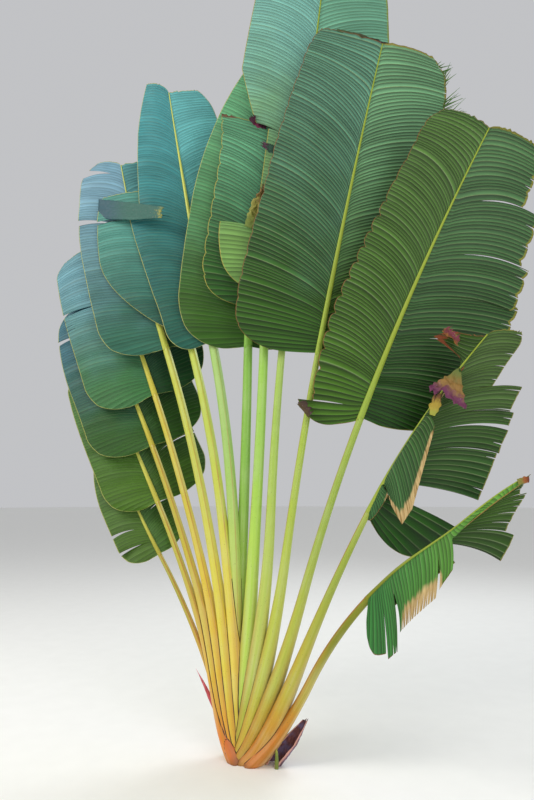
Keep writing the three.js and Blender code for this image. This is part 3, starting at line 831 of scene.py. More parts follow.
def varied(value, swing):
    """A factor round 1, which a value from 0 to 1 moves by half the swing either way."""
    return 1 - swing / 2 + swing * value


def shaded(paints, colour, factor):
    """A colour made darker or lighter by a factor."""
    grey = paints.node("ShaderNodeCombineColor", values=(factor, factor, factor))
    return paints.mix(1.0, colour, grey, "MULTIPLY")


def deep(code):
    """A green that starts a little deeper, because the sheen of the skin adds a little grey to it."""
    return tuple(max(DEEPENING * value - SHEEN, 0.003) for value in paint(code))


# %% Painting a blade
def blade_finish(leaf):
    paints = Finish("blade_skin_" + leaf["name"], Roughness=0.42, Specular_IOR_Level=0.25)
    rib, across, upward = paints.read("rib"), paints.read("across"), paints.read("upward")
    margin, edge, dry = paints.read("margin"), paints.read("edge"), paints.read("dry")
    ribs = leaf["ribs"]
    number = rib.maths("FLOOR", rib)
    past = rib - number
    strength = paints.node("ShaderNodeTexWhiteNoise", {"noise_dimensions": "1D"}, {"W": number})
    line = (past - 0.5).maths("ABSOLUTE", past - 0.5).above(0.38, 0.5) * (0.4 + 0.6 * strength)
    veins = 0.5 + 0.5 * (rib * (2 * math.pi * VEINS_PER_RIB)).cosine()
    streaks = paints.noise(paints.vector(rib * 1.3, across * 2.5), 1.0, 4, 0.6)
    bands = paints.noise(paints.vector(rib * 0.16, across * 1.1), 1.0, 2)
    clouds = paints.noise(paints.place(), 3.5, 3)
    on_right = across.above(-0.01, 0.01)
    left_low, left_high, right_low, right_high = (deep(code) for code in leaf["tones"])
    # Low and high greens: greener low down, mostly lighter and bluer higher up, partly a painted
    # reflection of the ground and of the sky.
    height = (upward * 0.95 + (clouds - 0.5) * 0.4).above(0.05, 0.85)
    left = paints.mix(height, left_low, left_high)
    green = paints.mix(on_right, left, paints.mix(height, right_low, right_high))
    # Painted light and shade of the pleats: lighter just above each vein, darker just below it. Broad
    # bands, streaks, fine veins and each rib's own strength then make it lighter and darker in places.
    pleat_shade_and_streaks = 1 + RIB_PAINTED_LIGHT * ribs - RIB_PAINTED_SHADE * ribs * past
    pleat_shade_and_streaks = pleat_shade_and_streaks * varied(bands, BAND_SWING) * varied(streaks, STREAK_SWING) * varied(veins, VEIN_SWING)
    pleat_shade_and_streaks = pleat_shade_and_streaks * varied(strength, RIB_SWING * ribs)
    pleat_shaded = shaded(paints, green, pleat_shade_and_streaks)
    # A painted highlight along each ridge line, fading towards the blade's base.
    lined = paints.mix(line * (RIDGE_HIGHLIGHT_STRENGTH * ribs) * upward.above(-0.1, 0.3), pleat_shaded, RIDGE_HIGHLIGHT)
    left_edge, _, right_edge, _ = leaf["edging"]
    edge_colour = paints.mix(on_right, paint(left_edge), paint(right_edge))
    rimmed = (margin + (streaks - 0.5) * 1.6).below(0.6, 1.3)
    edged = paints.mix(rimmed * 0.9, lined, edge_colour)
    ragged = edge + (streaks - 0.5) * 0.006
    browned = paints.mix(ragged.below(0.0, 0.002) * 0.6, edged, DRY_BROWN)
    low_straw = paints.mix(streaks.above(0.3, 0.6), STRAW_SHADE, STRAW)
    straw = paints.mix(upward.above(0.68, 0.74), low_straw, paint(leaf["dry_top"]))
    dried = paints.mix((dry + (streaks - 0.5) * 0.7).above(0.35, 0.65), browned, straw)
    rough = 0.38 + 0.16 * clouds + 0.35 * dry
    rise = (1 - past) * ribs + line * ribs + veins * 0.25 + streaks * 0.4
    return paints.finish(dried, rough, rise, LEAF_RELIEF)


# %% [markdown]
# ## Midribs
#
# The stalk runs on through the blade as the midrib, a rounded rod that stands out on the blade's
# under side and tapers to the tip. It is a cylinder, cut into rings, whose rings are then moved,
# sized and turned one by one. The stalks themselves are made by the same helper.

# %% A limb from a cylinder
def limb(sides, rings, place, names=()):
    """A closed tapering rod. place gives the point and the carried values for a ring and an angle."""
    shape = bmesh.new()
    bmesh.ops.create_cone(shape, cap_ends=True, segments=sides, radius1=1, radius2=1, depth=1)
    long_edges = [e for e in shape.edges if abs(e.verts[0].co.z - e.verts[1].co.z) > 0.5]
    bmesh.ops.subdivide_edges(shape, edges=long_edges, cuts=rings - 1, use_grid_fill=True)
    layers = carry(shape, names)
    for corner in shape.verts:
        share = corner.co.z + 0.5
        angle = math.atan2(corner.co.y, corner.co.x)
        corner.co, told = place(share, angle)
        for layer, value in zip(layers, told):
            corner[layer] = value
    return shape


# %% Midribs as limbs
MIDRIB_SIDES = 14
MIDRIB_RINGS = 90
MIDRIB_TIP = 0.0035
MIDRIB_SUNK = 0.02
MIDRIB_AT_NECK = 0.97
MIDRIB_POWER = 1.5
MIDRIB_DEPTHS = (0.85, 0.95)
MIDRIB_FORWARD = 0.3


def midrib_shape(leaf):
    turn = math.radians(leaf["turn"])

    def place(share, angle):
        distance = leaf["stalk"] - MIDRIB_SUNK + share * (leaf["blade"] + MIDRIB_SUNK)
        point, _, right = station(leaf, distance)
        neck = leaf["radius"] * leaf["taper"] * MIDRIB_AT_NECK
        width = MIDRIB_TIP + (neck - MIDRIB_TIP) * (1 - share) ** MIDRIB_POWER
        lateral = right * math.cos(turn) + BACK * math.sin(turn)
        facing = right * math.sin(turn) - BACK * math.cos(turn)
        forward = MIDRIB_FORWARD * width * smooth(share, 0, 0.1)
        swell = lerp(*MIDRIB_DEPTHS, smooth(share, 0, 0.2))
        side = lateral * (width * math.cos(angle))
        front = facing * (width * swell * math.sin(angle) + forward)
        return point + side + front, (distance - leaf["stalk"], angle / math.pi)

    return limb(MIDRIB_SIDES, MIDRIB_RINGS, place, ("past_neck", "around"))


# %% [markdown]
# ## Stalks
#
# A stalk is round on its outer side and has a shallow channel on the side that faces the middle of
# the fan. Its foot is a wide sheath that clasps the younger ones, and the sheath's margin is a thin
# dark line, partly its own brown edge and partly painted shade in the crease where it meets the
# younger stalk. To know where that line runs, each ring of a stalk asks which of its points come out
# of the younger stalks: the margin lies where the answer changes.

# %% The stalk's size and its distance from another
SHEATH_HALF_WIDTH = 0.052
SHEATH_HALF_DEPTH = 0.046
SHEATH_STEP = 0.005
STALK_FLATNESS = 0.82
BELOW_GROUND = 0.06


def stalk_size(leaf, distance):
    """Half the stalk's width and depth at a distance from the foot."""
    thick = leaf["radius"] * lerp(1, leaf["taper"], distance / leaf["stalk"])
    foot = math.exp(-((distance / leaf["clasp"]) ** 2))
    clasping = SHEATH_HALF_DEPTH + leaf["wraps"] * SHEATH_STEP
    return lerp(thick, SHEATH_HALF_WIDTH, foot), lerp(thick * STALK_FLATNESS, clasping, foot)


def outside(leaf, point, guess):
    """How far a point lies outside a stalk's skin, in metres: less than nothing inside it."""
    distance = guess
    for _ in range(2):
        centre, up, right = station(leaf, distance)
        distance = max(distance + (point - centre).dot(up), 0.0)
    width, depth = stalk_size(leaf, distance)
    gap = point - centre
    return (math.hypot(gap.dot(right) / width, gap.y / depth) - 1) * min(width, depth)


# %% A ring of a stalk
STALK_SIDES = 40
SHEATH_RINGS = 130
STALK_RINGS = 190
SHEATH_TOP = 1.05
CHANNEL = 0.16
CHANNEL_WIDTH = 0.42
CHANNEL_BEGINS = (0.35, 0.9)
CHANNEL_RIM = 0.05
RIM_AT = 0.85
RIM_WIDTH = 0.2
LIP = 0.0022
LIP_WIDTH = 0.01
FAR_SEAM = 0.05


def apart(a, b):
    """The angle between two directions, from 0 to half a turn."""
    return abs((a - b + math.pi) % (2 * math.pi) - math.pi)


def inward(leaf):
    """The angle of the side that faces the middle of the fan."""
    return math.pi if leaf["side"] > 0 else 0.0


def stalk_distance(leaf, share):
    """Distances are crowded in the sheath, where the detail is."""
    split = SHEATH_RINGS / STALK_RINGS
    if share < split:
        return lerp(-BELOW_GROUND, SHEATH_TOP, share / split)
    return lerp(SHEATH_TOP, leaf["stalk"], (share - split) / (1 - split))


def ring_point(leaf, distance, angle, swell=0.0):
    point, _, right = station(leaf, max(distance, 0.0))
    width, depth = stalk_size(leaf, max(distance, 0.0))
    off = apart(angle, inward(leaf))
    grooved = smooth(distance, *CHANNEL_BEGINS)
    hollow = CHANNEL * math.exp(-((off / CHANNEL_WIDTH) ** 2))
    rim = CHANNEL_RIM * math.exp(-(((off - RIM_AT) / RIM_WIDTH) ** 2))
    scale = 1 - grooved * (hollow - rim)
    place = point + right * (width * scale + swell) * math.cos(angle)
    place += BACK * (depth * scale + swell) * math.sin(angle)
    place.z += min(distance, 0.0)
    return place


# %% The seams of a sheath, and the stalk
def seam_angles(leaf, distance, younger):
    """The angles of a ring at which the skin comes out of the younger stalks."""
    angles = [2 * math.pi * k / STALK_SIDES for k in range(STALK_SIDES + 1)]
    gaps = []
    for angle in angles:
        point = ring_point(leaf, distance, angle)
        gaps.append(min(outside(other, point, max(distance, 0.0)) for other in younger))
    crossings = []
    for k in range(STALK_SIDES):
        if gaps[k] * gaps[k + 1] < 0:
            share = gaps[k] / (gaps[k] - gaps[k + 1])
            crossings.append(lerp(angles[k], angles[k + 1], share))
    return crossings


def stalk_shape(leaf):
    younger = [other for other in LEAVES if other["wraps"] < leaf["wraps"]]
    found = {}

    def place(share, angle):
        distance = stalk_distance(leaf, share)
        ring = round(share * STALK_RINGS)
        if ring not in found:
            near = younger and distance < SHEATH_TOP
            found[ring] = seam_angles(leaf, distance, younger) if near else []
        width, depth = stalk_size(leaf, max(distance, 0.0))
        arcs = [apart(angle, crossing) * (width + depth) / 2 for crossing in found[ring]]
        seam = min([FAR_SEAM, *arcs])
        lip = LIP * max(0.0, 1 - seam / LIP_WIDTH)
        rim = abs(apart(angle, inward(leaf)) - RIM_AT) * (width + depth) / 2
        return ring_point(leaf, distance, angle, lip), (distance, angle / math.pi, seam, rim)

    shape = limb(STALK_SIDES, STALK_RINGS, place, ("far", "around", "seam", "rim"))
    everything = [*shape.verts, *shape.edges, *shape.faces]
    cut = bmesh.ops.bisect_plane(
        shape, geom=everything, plane_co=(0, 0, 0), plane_no=DOWN, clear_outer=True
    )
    rim_edges = [part for part in cut["geom_cut"] if isinstance(part, bmesh.types.BMEdge)]
    bmesh.ops.edgeloop_fill(shape, edges=rim_edges)
    return shape


# %% [markdown]
# ## The finish of a stalk
#
# The skin is smooth and waxy. It is orange or yellow at the sheath and greener towards the neck,
# with fine streaks along it, a pale bloom of wax in places and small brown specks. Near the foot a
# painted cream highlight runs along each stalk's outer side. The margins of the sheaths are thin
# brown lines, partly their own brown edge and partly painted shade in the crease where they meet the
# younger stalks, and the rims of the channel are thin brown lines too.

# %% Painting a midrib
# A dark brown for specks and for the sheath margins, where it also paints the shade in the crease.
SEAM_BROWN_AND_CREASE_SHADE = paint("3a2410")
RIM_ORANGE = paint("a8602c")
FOOT_ORANGE = paint("b0662c")
# The colour of a painted highlight on each stalk's outer side near the foot.
CREAM_HIGHLIGHT = paint("dccb8c")
EARTH = paint("6a4426")
WARMTH = (1.0, 1.0, 0.7)
BLOOM = paint("c6caa0")
WAX_RELIEF = 0.0004


def warmed(code):
    """A stalk's colour, with less blue than the code says, because the sheen adds some."""
    return tuple(value * share for value, share in zip(deep(code), WARMTH))


def midrib_finish(leaf):
    """The stalk's colour at the neck, and the midrib's own colour from there on."""
    paints = Finish("midrib_skin_" + leaf["name"], Roughness=0.42, Specular_IOR_Level=0.3)
    past_neck, around = paints.read("past_neck"), paints.read("around")
    streaks = paints.noise(paints.vector(around * 5, past_neck * 3, leaf["wraps"] * 2.0), 1.0, 3)
    neck, own = warmed(leaf["skin"][2]), warmed(leaf["rib_tone"])
    colour = paints.mix(past_neck.above(0.0, 0.5), neck, own)
    streaked = shaded(paints, colour, varied(streaks, STREAK_SWING))
    return paints.finish(streaked, 0.36 + 0.16 * streaks, streaks, WAX_RELIEF)


# %% Painting a stalk
def stalk_finish(leaf, name):
    paints = Finish(name, Roughness=0.4, Coat_Weight=0.1, Coat_Roughness=0.35, Specular_IOR_Level=0.35)
    far, around = paints.read("far"), paints.read("around")
    foot, middle, neck = (warmed(code) for code in leaf["skin"])
    streaks = paints.noise(paints.vector(around * 9, far * 1.6, leaf["wraps"] * 2.0), 1.0, 3)
    clouds = paints.noise(paints.place(), 5.0, 2)
    shift = far + (streaks - 0.5) * 0.25 + (clouds - 0.5) * 0.3
    low = paints.mix(shift.above(0.12, 0.6), foot, middle)
    skin = paints.mix(shift.above(0.6, 0.75 * leaf["stalk"]), low, neck)
    pale = paints.mix((clouds * streaks * 4).above(0.75, 1.5) * 0.2, skin, BLOOM)
    greener = paints.mix(streaks.below(0.3, 0.55) * 0.35, pale, neck)
    specks = paints.noise(paints.place(), 160.0, 1)
    dotted = paints.mix(specks.above(0.7, 0.76) * 0.5, greener, SEAM_BROWN_AND_CREASE_SHADE)
    to_right = (around * math.pi).cosine()
    near_foot = far.below(0.35, 1.3)
    outer = to_right * leaf["side"]
    # A painted cream highlight along the outer side, near the foot.
    outer_highlighted = paints.mix(outer.above(0.6, 0.98) * near_foot * 0.45, dotted, CREAM_HIGHLIGHT)
    warm = paints.mix(outer.below(-0.7, 0.3) * near_foot * 0.55, outer_highlighted, FOOT_ORANGE)
    rim = paints.read("rim") + (clouds - 0.5) * 0.004
    fading = far.above(0.3, 0.7) * (1 - 0.6 * far.above(1.4, 2.6))
    rimmed = paints.mix(rim.below(0.001, 0.0045) * fading * 0.75, warm, RIM_ORANGE)
    seam = paints.read("seam") + (streaks - 0.5) * 0.002
    # The sheath's margin: its brown edge, and painted shade in the crease where it meets the younger
    # stalk.
    lined = paints.mix(seam.below(0.0035, 0.0065), rimmed, SEAM_BROWN_AND_CREASE_SHADE)
    earthy = paints.mix((far + (clouds - 0.5) * 0.05).below(0.0, 0.06) * 0.6, lined, EARTH)
    return paints.finish(earthy, 0.3 + 0.2 * clouds, streaks, WAX_RELIEF)


# %% Growing every leaf
LEAF_THICKNESS = 0.0016
for one in LEAVES:
    name = one["name"]
    skin = stalk_finish(one, "stalk_skin_" + name)
    piece("stalk_wax_" + name, stalk_shape(one), skin, "stalk_" + name)
    piece("midrib_" + name, midrib_shape(one), midrib_finish(one))
    lamina = piece(
        "lamina_" + name, blade_shape(one), blade_finish(one), "blade_" + name, LEAF_THICKNESS
    )
    print(name, "has", len(lamina.data.polygons), "faces on its blade")

# %% [markdown]
# ## Torn scraps
#
# Wind and sun leave scraps on such a plant: a dead flap that hangs from a midrib, a margin rolled
# up and dried to purple, a folded strip. Each is a small grid that starts at a point of its leaf and
# runs off in its own direction, where it widens, curls like a shaving and crumples.

# %% The list of scraps
def scrap(
    leaf, half, at, heading, length, widths, curl, crumple, tones, turn=None, ahead=0.012,
    ragged=0.3, ends=(0.55, 0.9), skew=0,
):
    """One scrap, which starts at a point of a leaf: at tells its shares outwards and upwards.

    Its heading is in degrees from straight up, and it curls so many degrees towards the viewer. Its
    turn is that of its leaf unless it has its own, and it lies so far ahead of the skin. ends tells
    where its last colour comes in, and skew by how many degrees its rows lean. Lengths in metres.
    """
    leaf = next(one for one in LEAVES if one["name"] == leaf)
    return {
        "leaf": leaf,
        "root": (half, *at),
        "heading": heading,
        "length": length,
        "widths": widths,
        "curl": curl,
        "crumple": crumple,
        "tones": tones,
        "turn": leaf["turn"] if turn is None else turn,
        "ahead": ahead,
        "ragged": ragged,
        "ends": ends,
        "skew": math.radians(skew),
    }


SCRAPS = {
    "flap": scrap(
        "right_2", LEFT, at=(0.0, 0.85), heading=206, length=0.2,
        widths=(0.012, 0.12, 0.23), curl=30, crumple=0.012,
        tones=("5e6a24", "86642a", "64284a"),
    ),
    "flap_rim": scrap(
        "right_2", LEFT, at=(0.55, 0.6), heading=16, length=0.12,
        widths=(0.03, 0.06, 0.04), curl=40, crumple=0.008,
        tones=("9a9c34", "aa9230", "6a4020"),
    ),
    "rolled_top": scrap(
        "right_2", LEFT, at=(0.8, 0.985), heading=226, length=0.13,
        widths=(0.08, 0.12, 0.08), curl=150, crumple=0.012,
        tones=("7a6c28", "96602a", "6e2636"),
    ),
    "lobe_end": scrap(
        "right_3", LEFT, at=(0.93, 0.035), heading=230, length=0.1,
        widths=(0.09, 0.11, 0.09), curl=200, crumple=0.006,
        tones=("3c5420", "4c3a1c", "382014"),
    ),
    "curled_tip": scrap(
        "right_1", RIGHT, at=(0.0, 0.985), heading=75, length=0.09,
        widths=(0.03, 0.035, 0.02), curl=-120, crumple=0.006,
        tones=("7e7c30", "9a5428", "6e3028"),
    ),
    "purple_spot": scrap(
        "right_6", LEFT, at=(0.32, 1.0), heading=282, length=0.12,
        widths=(0.06, 0.08, 0.04), curl=50, crumple=0.012,
        tones=("4c2038", "701c40", "44182e"),
    ),
    "dried_edge": scrap(
        "right_5", LEFT, at=(0.62, 0.15), heading=22, length=0.27,
        widths=(0.05, 0.085, 0.08, 0.04), curl=20, crumple=0.02,
        tones=("748434", "8e8a38", "7a5c2c"),
    ),
    "stub": scrap(
        "right_5", LEFT, at=(0.58, 0.385), heading=284, length=0.13,
        widths=(0.07, 0.06, 0.03), curl=40, crumple=0.01,
        tones=("386a58", "3c6450", "5c3048"),
    ),
    "tip_curl": scrap(
        "right_4", LEFT, at=(0.75, 0.995), heading=110, length=0.3,
        widths=(0.015, 0.035, 0.03, 0.015), curl=12, crumple=0.01,
        ahead=0.006,
        tones=("3c5028", "3a3c1c", "2c2412"),
    ),
    "folded_strip": scrap(
        "left_6", LEFT, at=(1.0, 0.93), heading=106, length=0.66,
        widths=(0.155, 0.135, 0.08), curl=8, crumple=0.002,
        turn=0, ahead=0.004, ragged=0.05, ends=(0.9, 1.05), skew=-16,
        tones=("1c4a56", "1f584c", "9a9638"),
    ),
}

# %% The shape and the finish of a scrap
SCRAP_COLUMNS = 22
SCRAP_ROWS = 36
CRUMPLE_PITCH = 0.03
CRUMPLED_FROM = 0.4
END_JAGS = 4
SIDE_JAGS = 6
SIDE_RAGGED = 0.8
NOISE_SLICE = 0.5
SPOT_PINK = paint("c09aa4")
FIBRE_SWING = 0.6
SCRAP_RELIEF = 0.002


def scrap_shape(torn_off, seed):
    """A grid that runs off in the plane of its leaf, widens, curls towards the viewer and crumples."""
    turn, angle = math.radians(torn_off["turn"]), math.radians(torn_off["heading"])
    sideways = Vector((math.cos(turn), math.sin(turn), 0))
    front = Vector((math.sin(turn), -math.cos(turn), 0))
    onwards = sideways * math.sin(angle) - DOWN * math.cos(angle)
    rows = angle + torn_off["skew"]
    across_it = sideways * math.cos(rows) + DOWN * math.sin(rows)
    root = blade_point(torn_off["leaf"], *torn_off["root"]) + front * torn_off["ahead"]
    bend = math.radians(torn_off["curl"])
    radius = torn_off["length"] / bend
    shape = bmesh.new()
    bmesh.ops.create_grid(shape, x_segments=SCRAP_COLUMNS, y_segments=SCRAP_ROWS, size=1)
    down_layer, across_layer = carry(shape, ("down", "across"))
    for corner in shape.verts:
        across, down = corner.co.x, (corner.co.y + 1) / 2
        jags = noise.noise(Vector((across * END_JAGS, seed, NOISE_SLICE)))
        turned = bend * down * (1 + torn_off["ragged"] * down * jags)
        place = root + onwards * (radius * math.sin(turned))
        place += front * (abs(radius) * (1 - math.cos(turned)))
        side_jags = noise.noise(Vector((down * SIDE_JAGS, across, seed)))
        edge = 1 + SIDE_RAGGED * torn_off["ragged"] * side_jags
        place += across_it * (along(torn_off["widths"], down) / 2 * across * edge)
        crumpled = torn_off["crumple"] * smooth(down, 0, CRUMPLED_FROM)
        place += drift(place / CRUMPLE_PITCH) * crumpled
        corner[down_layer], corner[across_layer] = down, across
        corner.co = place
    return shape


def scrap_finish(name, tones, ends):
    paints = Finish("scrap_skin_" + name, Roughness=0.6)
    down, across = paints.read("down"), paints.read("across")
    root, middle, end = (paint(code) for code in tones)
    spots = paints.noise(paints.place(), 55.0, 3)
    fibres = paints.noise(paints.vector(across * 6, down * 1.5), 2.0, 4)
    far = down + (spots - 0.5) * 0.35
    colour = paints.mix(far.above(0.1, 0.5), root, middle)
    colour = paints.mix(far.above(*ends), colour, end)
    colour = paints.mix(spots.above(0.62, 0.72) * far.above(0.5, 0.9) * 0.35, colour, SPOT_PINK)
    grained = shaded(paints, colour, varied(fibres, FIBRE_SWING))
    return paints.finish(grained, 0.5 + 0.3 * spots, fibres, SCRAP_RELIEF)


for seed, (name, torn_off) in enumerate(SCRAPS.items()):
    skin = scrap_finish(name, torn_off["tones"], torn_off["ends"])
    piece("scrap_" + name, scrap_shape(torn_off, seed), skin, None, LEAF_THICKNESS)
print(len(SCRAPS), "scraps")

# %% [markdown]
# Where a margin is frayed, single veins stand out of it as fine threads: thin cones, side by side.

# %% Frayed margins
FRAYS = (
    ("right_4", 0.9, 0.98, 11, 0.09, (25, 95)),
    ("right_4", 0.76, 0.85, 18, 0.17, (55, 105)),
)
THREAD_SIDES = 5
THREAD_RADIUS = 0.0044
THREAD_TAPER = 6
THREAD_ROOT = 0.985
THREAD_LEAN = 0.3
SHORTEST_THREAD = 0.35


def fray_shape(name, low, high, count, length, headings):
    leaf = next(one for one in LEAVES if one["name"] == name)
    shape = bmesh.new()
    for i in range(count):
        share = lerp(low, high, (i + scatter(i)) / count)
        angle = math.radians(lerp(*headings, scatter(i + 0.6)))
        lean = THREAD_LEAN * (scatter(i + 0.2) - 0.5)
        ahead = Vector((math.sin(angle), lean, math.cos(angle))).normalized()
        reach = length * lerp(SHORTEST_THREAD, 1, scatter(i + 0.4))
        root = blade_point(leaf, RIGHT, THREAD_ROOT, share)
        turn = ahead.to_track_quat("Z", "X").to_matrix().to_4x4()
        made = bmesh.ops.create_cone(
            shape, cap_ends=True, segments=THREAD_SIDES,
            radius1=THREAD_RADIUS, radius2=THREAD_RADIUS / THREAD_TAPER, depth=reach,
        )
        bmesh.ops.transform(shape, verts=made["verts"], matrix=turn)
        bmesh.ops.translate(shape, verts=made["verts"], vec=root + ahead * (reach / 2))
    return shape


thread = Finish("thread_skin", Roughness=0.5)
thread_tone = thread.mix(thread.noise(thread.place(), 30.0), paint("2c5a34"), paint("6a8a3c"))
thread_skin = thread.finish(thread_tone, 0.5)
for number, fray in enumerate(FRAYS):
    piece("threads_%d" % number, fray_shape(*fray), thread_skin)
print(sum(fray[3] for fray in FRAYS), "threads stand out of the margin")

# %% [markdown]
# ## The foot
#
# A short stem carries the sheaths. Beside it stand a dead sheath, dried to a curled purple-brown
# boat, and two young shoots, one red and one green.

# %% Small growths
GROWTHS = {
    "dry_sheath": {
        "path": ((0.18, 0.02, 0.0), (0.275, 0.035, 0.13), (0.395, 0.035, 0.29)),
        "widths": (0.055, 0.06, 0.012),
        "depths": (0.042, 0.036, 0.008),
    },
    "shoot_right": {
        "path": ((0.226, -0.026, 0.0), (0.227, -0.026, 0.06), (0.224, -0.026, 0.112)),
        "widths": (0.013, 0.011, 0.006),
        "depths": (0.011, 0.009, 0.005),
    },
    "shoot_left": {
        "path": ((-0.127, 0.02, 0.0), (-0.208, 0.01, 0.225), (-0.364, 0.0, 0.475)),
        "widths": (0.013, 0.013, 0.019, 0.004),
        "depths": (0.011, 0.011, 0.012, 0.003),
    },
}


def growth_point(growth, share, angle, swell=1.0):
    """A point of a small growth, on a smooth curve through its base, middle and tip."""
    base, middle, tip = (Vector(p) for p in growth["path"])
    bend = 2 * middle - (base + tip) / 2
    centre = base * (1 - share) ** 2 + bend * (2 * share * (1 - share)) + tip * share**2
    width = along(growth["widths"], share) * swell
    depth = along(growth["depths"], share) * swell
    return centre + Vector((width * math.cos(angle), depth * math.sin(angle), 0))


# %% The stem
STEM_HEIGHT = 0.26
STEM_HALF_WIDTH = 0.042
STEM_HALF_DEPTH = 0.036
STEM_TIP_SHARE = 0.35
ROOT_FLARE = 0.012
ROOT_FLARE_REACH = 0.045
STEM_GROOVES = 9
GROOVE_DEPTH = 0.03
GROOVE_TWIST = 12
STEM_SIDES = 48
STEM_RINGS = 24


def stem_shape():
    def place(share, angle):
        height = share * STEM_HEIGHT
        taper = lerp(1, STEM_TIP_SHARE, share**2)
        flare = ROOT_FLARE * math.exp(-height / ROOT_FLARE_REACH)
        groove = 1 + GROOVE_DEPTH * math.cos(STEM_GROOVES * angle + GROOVE_TWIST * share)
        x = (STEM_HALF_WIDTH * taper + flare) * groove * math.cos(angle)
        y = (STEM_HALF_DEPTH * taper + flare) * groove * math.sin(angle)
        return Vector((x, y, height)), ()

    return limb(STEM_SIDES, STEM_RINGS, place)


fibre = Finish("stem_fibre", Roughness=0.85)
grain = fibre.noise(fibre.stretched((60, 60, 9)), 1.0, 5, 0.7)
fibre_colour = fibre.mix(grain.above(0.35, 0.7), paint("3a2616"), paint("8a6238"))
stem_skin = fibre.finish(fibre_colour, 0.75 + 0.2 * grain, grain, 0.003)
piece("stem_core", stem_shape(), stem_skin, "stem")
print("The stem is", STEM_HEIGHT, "m tall")

# %% [markdown]
# The dead sheath is a tube that gapes towards the viewer, wider higher up, with a ragged rim. A grid
# is wrapped round the growth's curve for most of a turn and crumpled with noise.

# %% The dry sheath
HUSK_ROWS = 90
HUSK_COLUMNS = 60
HUSK_START = 0.008
HUSK_REACH = 0.94
HUSK_OPENING = (0.55, 1.15)
HUSK_JAGS = 9
HUSK_RAGGED = 0.05
HUSK_CRUMPLE = 0.1
HUSK_RIM_WIDTH = 0.3
HUSK_THICKNESS = 0.0024


def dry_sheath_shape():
    growth = GROWTHS["dry_sheath"]
    shape = bmesh.new()
    bmesh.ops.create_grid(shape, x_segments=HUSK_COLUMNS, y_segments=HUSK_ROWS, size=1)
    (rim_layer,) = carry(shape, ("rim",))
    for corner in shape.verts:
        round_share, share = (corner.co.x + 1) / 2, (corner.co.y + 1) / 2
        opening = lerp(*HUSK_OPENING, share)
        angle = lerp(-math.pi / 2 + opening, 1.5 * math.pi - opening, round_share)
        ragged = HUSK_RAGGED * noise.noise(Vector((round_share * HUSK_JAGS, 2, 5)))
        reach = HUSK_START + share * (HUSK_REACH + ragged)
        dents = noise.noise(Vector((angle * 3, share * 9, 1)))
        crumple = 1 + HUSK_CRUMPLE * dents - HUSK_CRUMPLE
        corner[rim_layer] = min(round_share, 1 - round_share) * HUSK_RIM_WIDTH
        corner.co = growth_point(growth, reach, angle, crumple)
    return shape


papery = Finish("dry_sheath_skin", Roughness=0.7)
fibres = papery.noise(papery.stretched((160, 90, 12), (0, -0.75, 0)), 1.0, 5, 0.65)
mottles = papery.noise(papery.place(), 18.0, 3)
husk = papery.mix(fibres.above(0.35, 0.7), paint("442430"), paint("8a4e48"))
husk = papery.mix(mottles.above(0.4, 0.65) * 0.8, husk, paint("6e6488"))
rim = papery.read("rim") + (fibres - 0.5) * 0.02
husk = papery.mix(rim.below(0.008, 0.03), husk, paint("d09a8c"))
sheath_skin = papery.finish(husk, 0.5 + 0.3 * mottles, fibres, 0.002)
husk_piece = piece(
    "dry_sheath_husk", dry_sheath_shape(), sheath_skin, "dry_sheath", HUSK_THICKNESS
)
print("The dry sheath has", len(husk_piece.data.polygons), "faces")

# %% The two shoots
SHOOT_SIDES = 28
SHOOT_RINGS = 70
SHOOT_CORE = 0.88
LAP_HEIGHT = 0.14
TIP_FROM = 0.85
TIP_NARROWING = 0.75


def shoot_shape(growth, laps):
    """A shoot of leaves rolled round each other: each lap is a low ridge that winds up it."""

    def place(share, angle):
        lap = ((angle / (2 * math.pi) + share * laps) % 1.0) * LAP_HEIGHT
        tip = 1 - TIP_NARROWING * smooth(share, TIP_FROM, 1.0)
        return growth_point(growth, share, angle, (SHOOT_CORE + lap) * tip), (share,)

    return limb(SHOOT_SIDES, SHOOT_RINGS, place, ("upward",))


SHOOTS = (
    ("shoot_left", 0.6, ("7c9c34", "c04a52", "d88a98"), (0.28, 0.42)),
    ("shoot_right", 1.2, ("6c7c2c", "8c9c38", "b0a04c"), (0.5, 0.9)),
)
for name, laps, (low, middle, high), (start, end) in SHOOTS:
    young = Finish(name + "_skin", Roughness=0.4)
    upward = young.read("upward")
    stripes = young.noise(young.stretched((90, 90, 8)), 1.0, 3)
    colour = young.mix(upward.above(start, end), paint(low), paint(middle))
    colour = young.mix((upward + stripes * 0.4).above(0.95, 1.3), colour, paint(high))
    colour = young.mix(stripes.below(0.3, 0.5) * 0.4, colour, paint("5c2028"))
    skin = young.finish(colour, 0.35 + 0.2 * stripes, stripes, 0.001)
    piece(name + "_roll", shoot_shape(GROWTHS[name], laps), skin, name)
print(len(SHOOTS), "young shoots")

# %% [markdown]
# ## The studio
#
# A pale floor that runs far back, a pale sky, and soft lamps. The camera stands at eye height to the
# right of the plant, where its view has the blades slightly turned, and looks up a little.

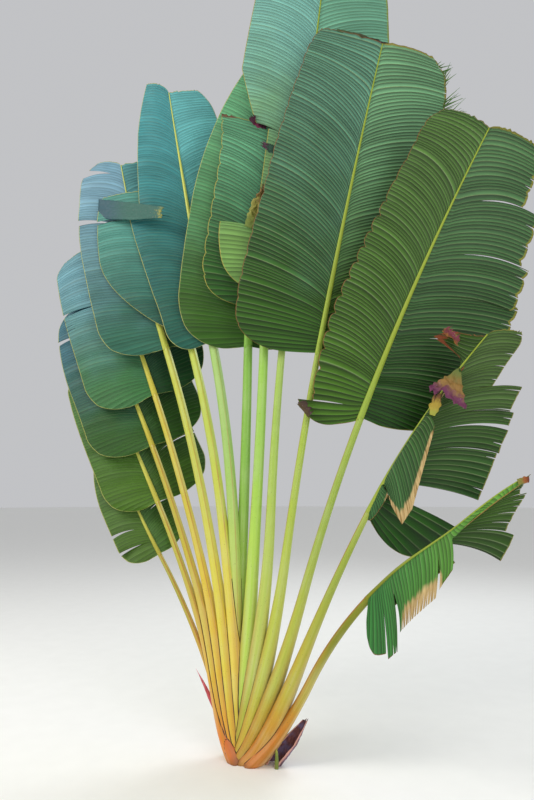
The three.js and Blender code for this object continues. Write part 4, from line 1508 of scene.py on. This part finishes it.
# %% Floor
FLOOR_RADIUS = 60
floor_shape = bmesh.new()
bmesh.ops.create_circle(floor_shape, cap_ends=True, segments=96, radius=FLOOR_RADIUS)
floor_mesh = bpy.data.meshes.new("floor")
floor_shape.to_mesh(floor_mesh)
floor_shape.free()
floor = bpy.data.objects.new("floor", floor_mesh)
bpy.context.scene.collection.objects.link(floor)
plaster = Finish("floor_plaster", Roughness=0.9)
grit = plaster.noise(plaster.place(), 6.0, 3)
plaster_colour = plaster.mix(grit, paint("f0f0ec"), paint("f6f6f2"))
floor_mesh.materials.append(plaster.finish(plaster_colour, 0.85 + 0.1 * grit))

# %% Lamps and sky
SKY_COLOUR = (0.96, 0.97, 1.0, 1)
SKY_STRENGTH = 0.56
sky = bpy.data.worlds.new("sky")
sky.use_nodes = True
background = sky.node_tree.nodes["Background"]
background.inputs["Color"].default_value = SKY_COLOUR
background.inputs["Strength"].default_value = SKY_STRENGTH
bpy.context.scene.world = sky


def lamp(name, place, aim, power, size, colour):
    """A soft square lamp that looks at a point."""
    data = bpy.data.lights.new(name, "AREA")
    data.energy = power
    data.size = size
    data.color = colour
    made = bpy.data.objects.new(name, data)
    made.location = place
    made.rotation_euler = (Vector(aim) - Vector(place)).to_track_quat("-Z", "Y").to_euler()
    bpy.context.scene.collection.objects.link(made)


lamp("key", (-4.5, -5.5, 7.0), (0, 0, 2.4), 430, 4.0, (1.0, 0.97, 0.9))
lamp("fill", (5.5, -4.0, 3.0), (0, 0, 2.4), 150, 4.0, (1.0, 1.0, 1.0))
lamp("back", (1.0, 6.0, 7.5), (0, 0, 3.0), 240, 4.0, (0.92, 0.96, 1.0))

# %% Camera
EYE = (2.05, -3.551, 1.6)
LOOKING_UP = 8
HEADING = 28.16
LENS = 28.8
SENSOR_WIDTH = 36
camera_data = bpy.data.cameras.new("camera")
camera_data.lens = LENS
camera_data.sensor_width = SENSOR_WIDTH
camera = bpy.data.objects.new("camera", camera_data)
camera.location = EYE
camera.rotation_euler = (math.radians(90 + LOOKING_UP), 0, math.radians(HEADING))
bpy.context.scene.collection.objects.link(camera)
bpy.context.scene.camera = camera
bpy.context.scene.view_settings.view_transform = "Standard"
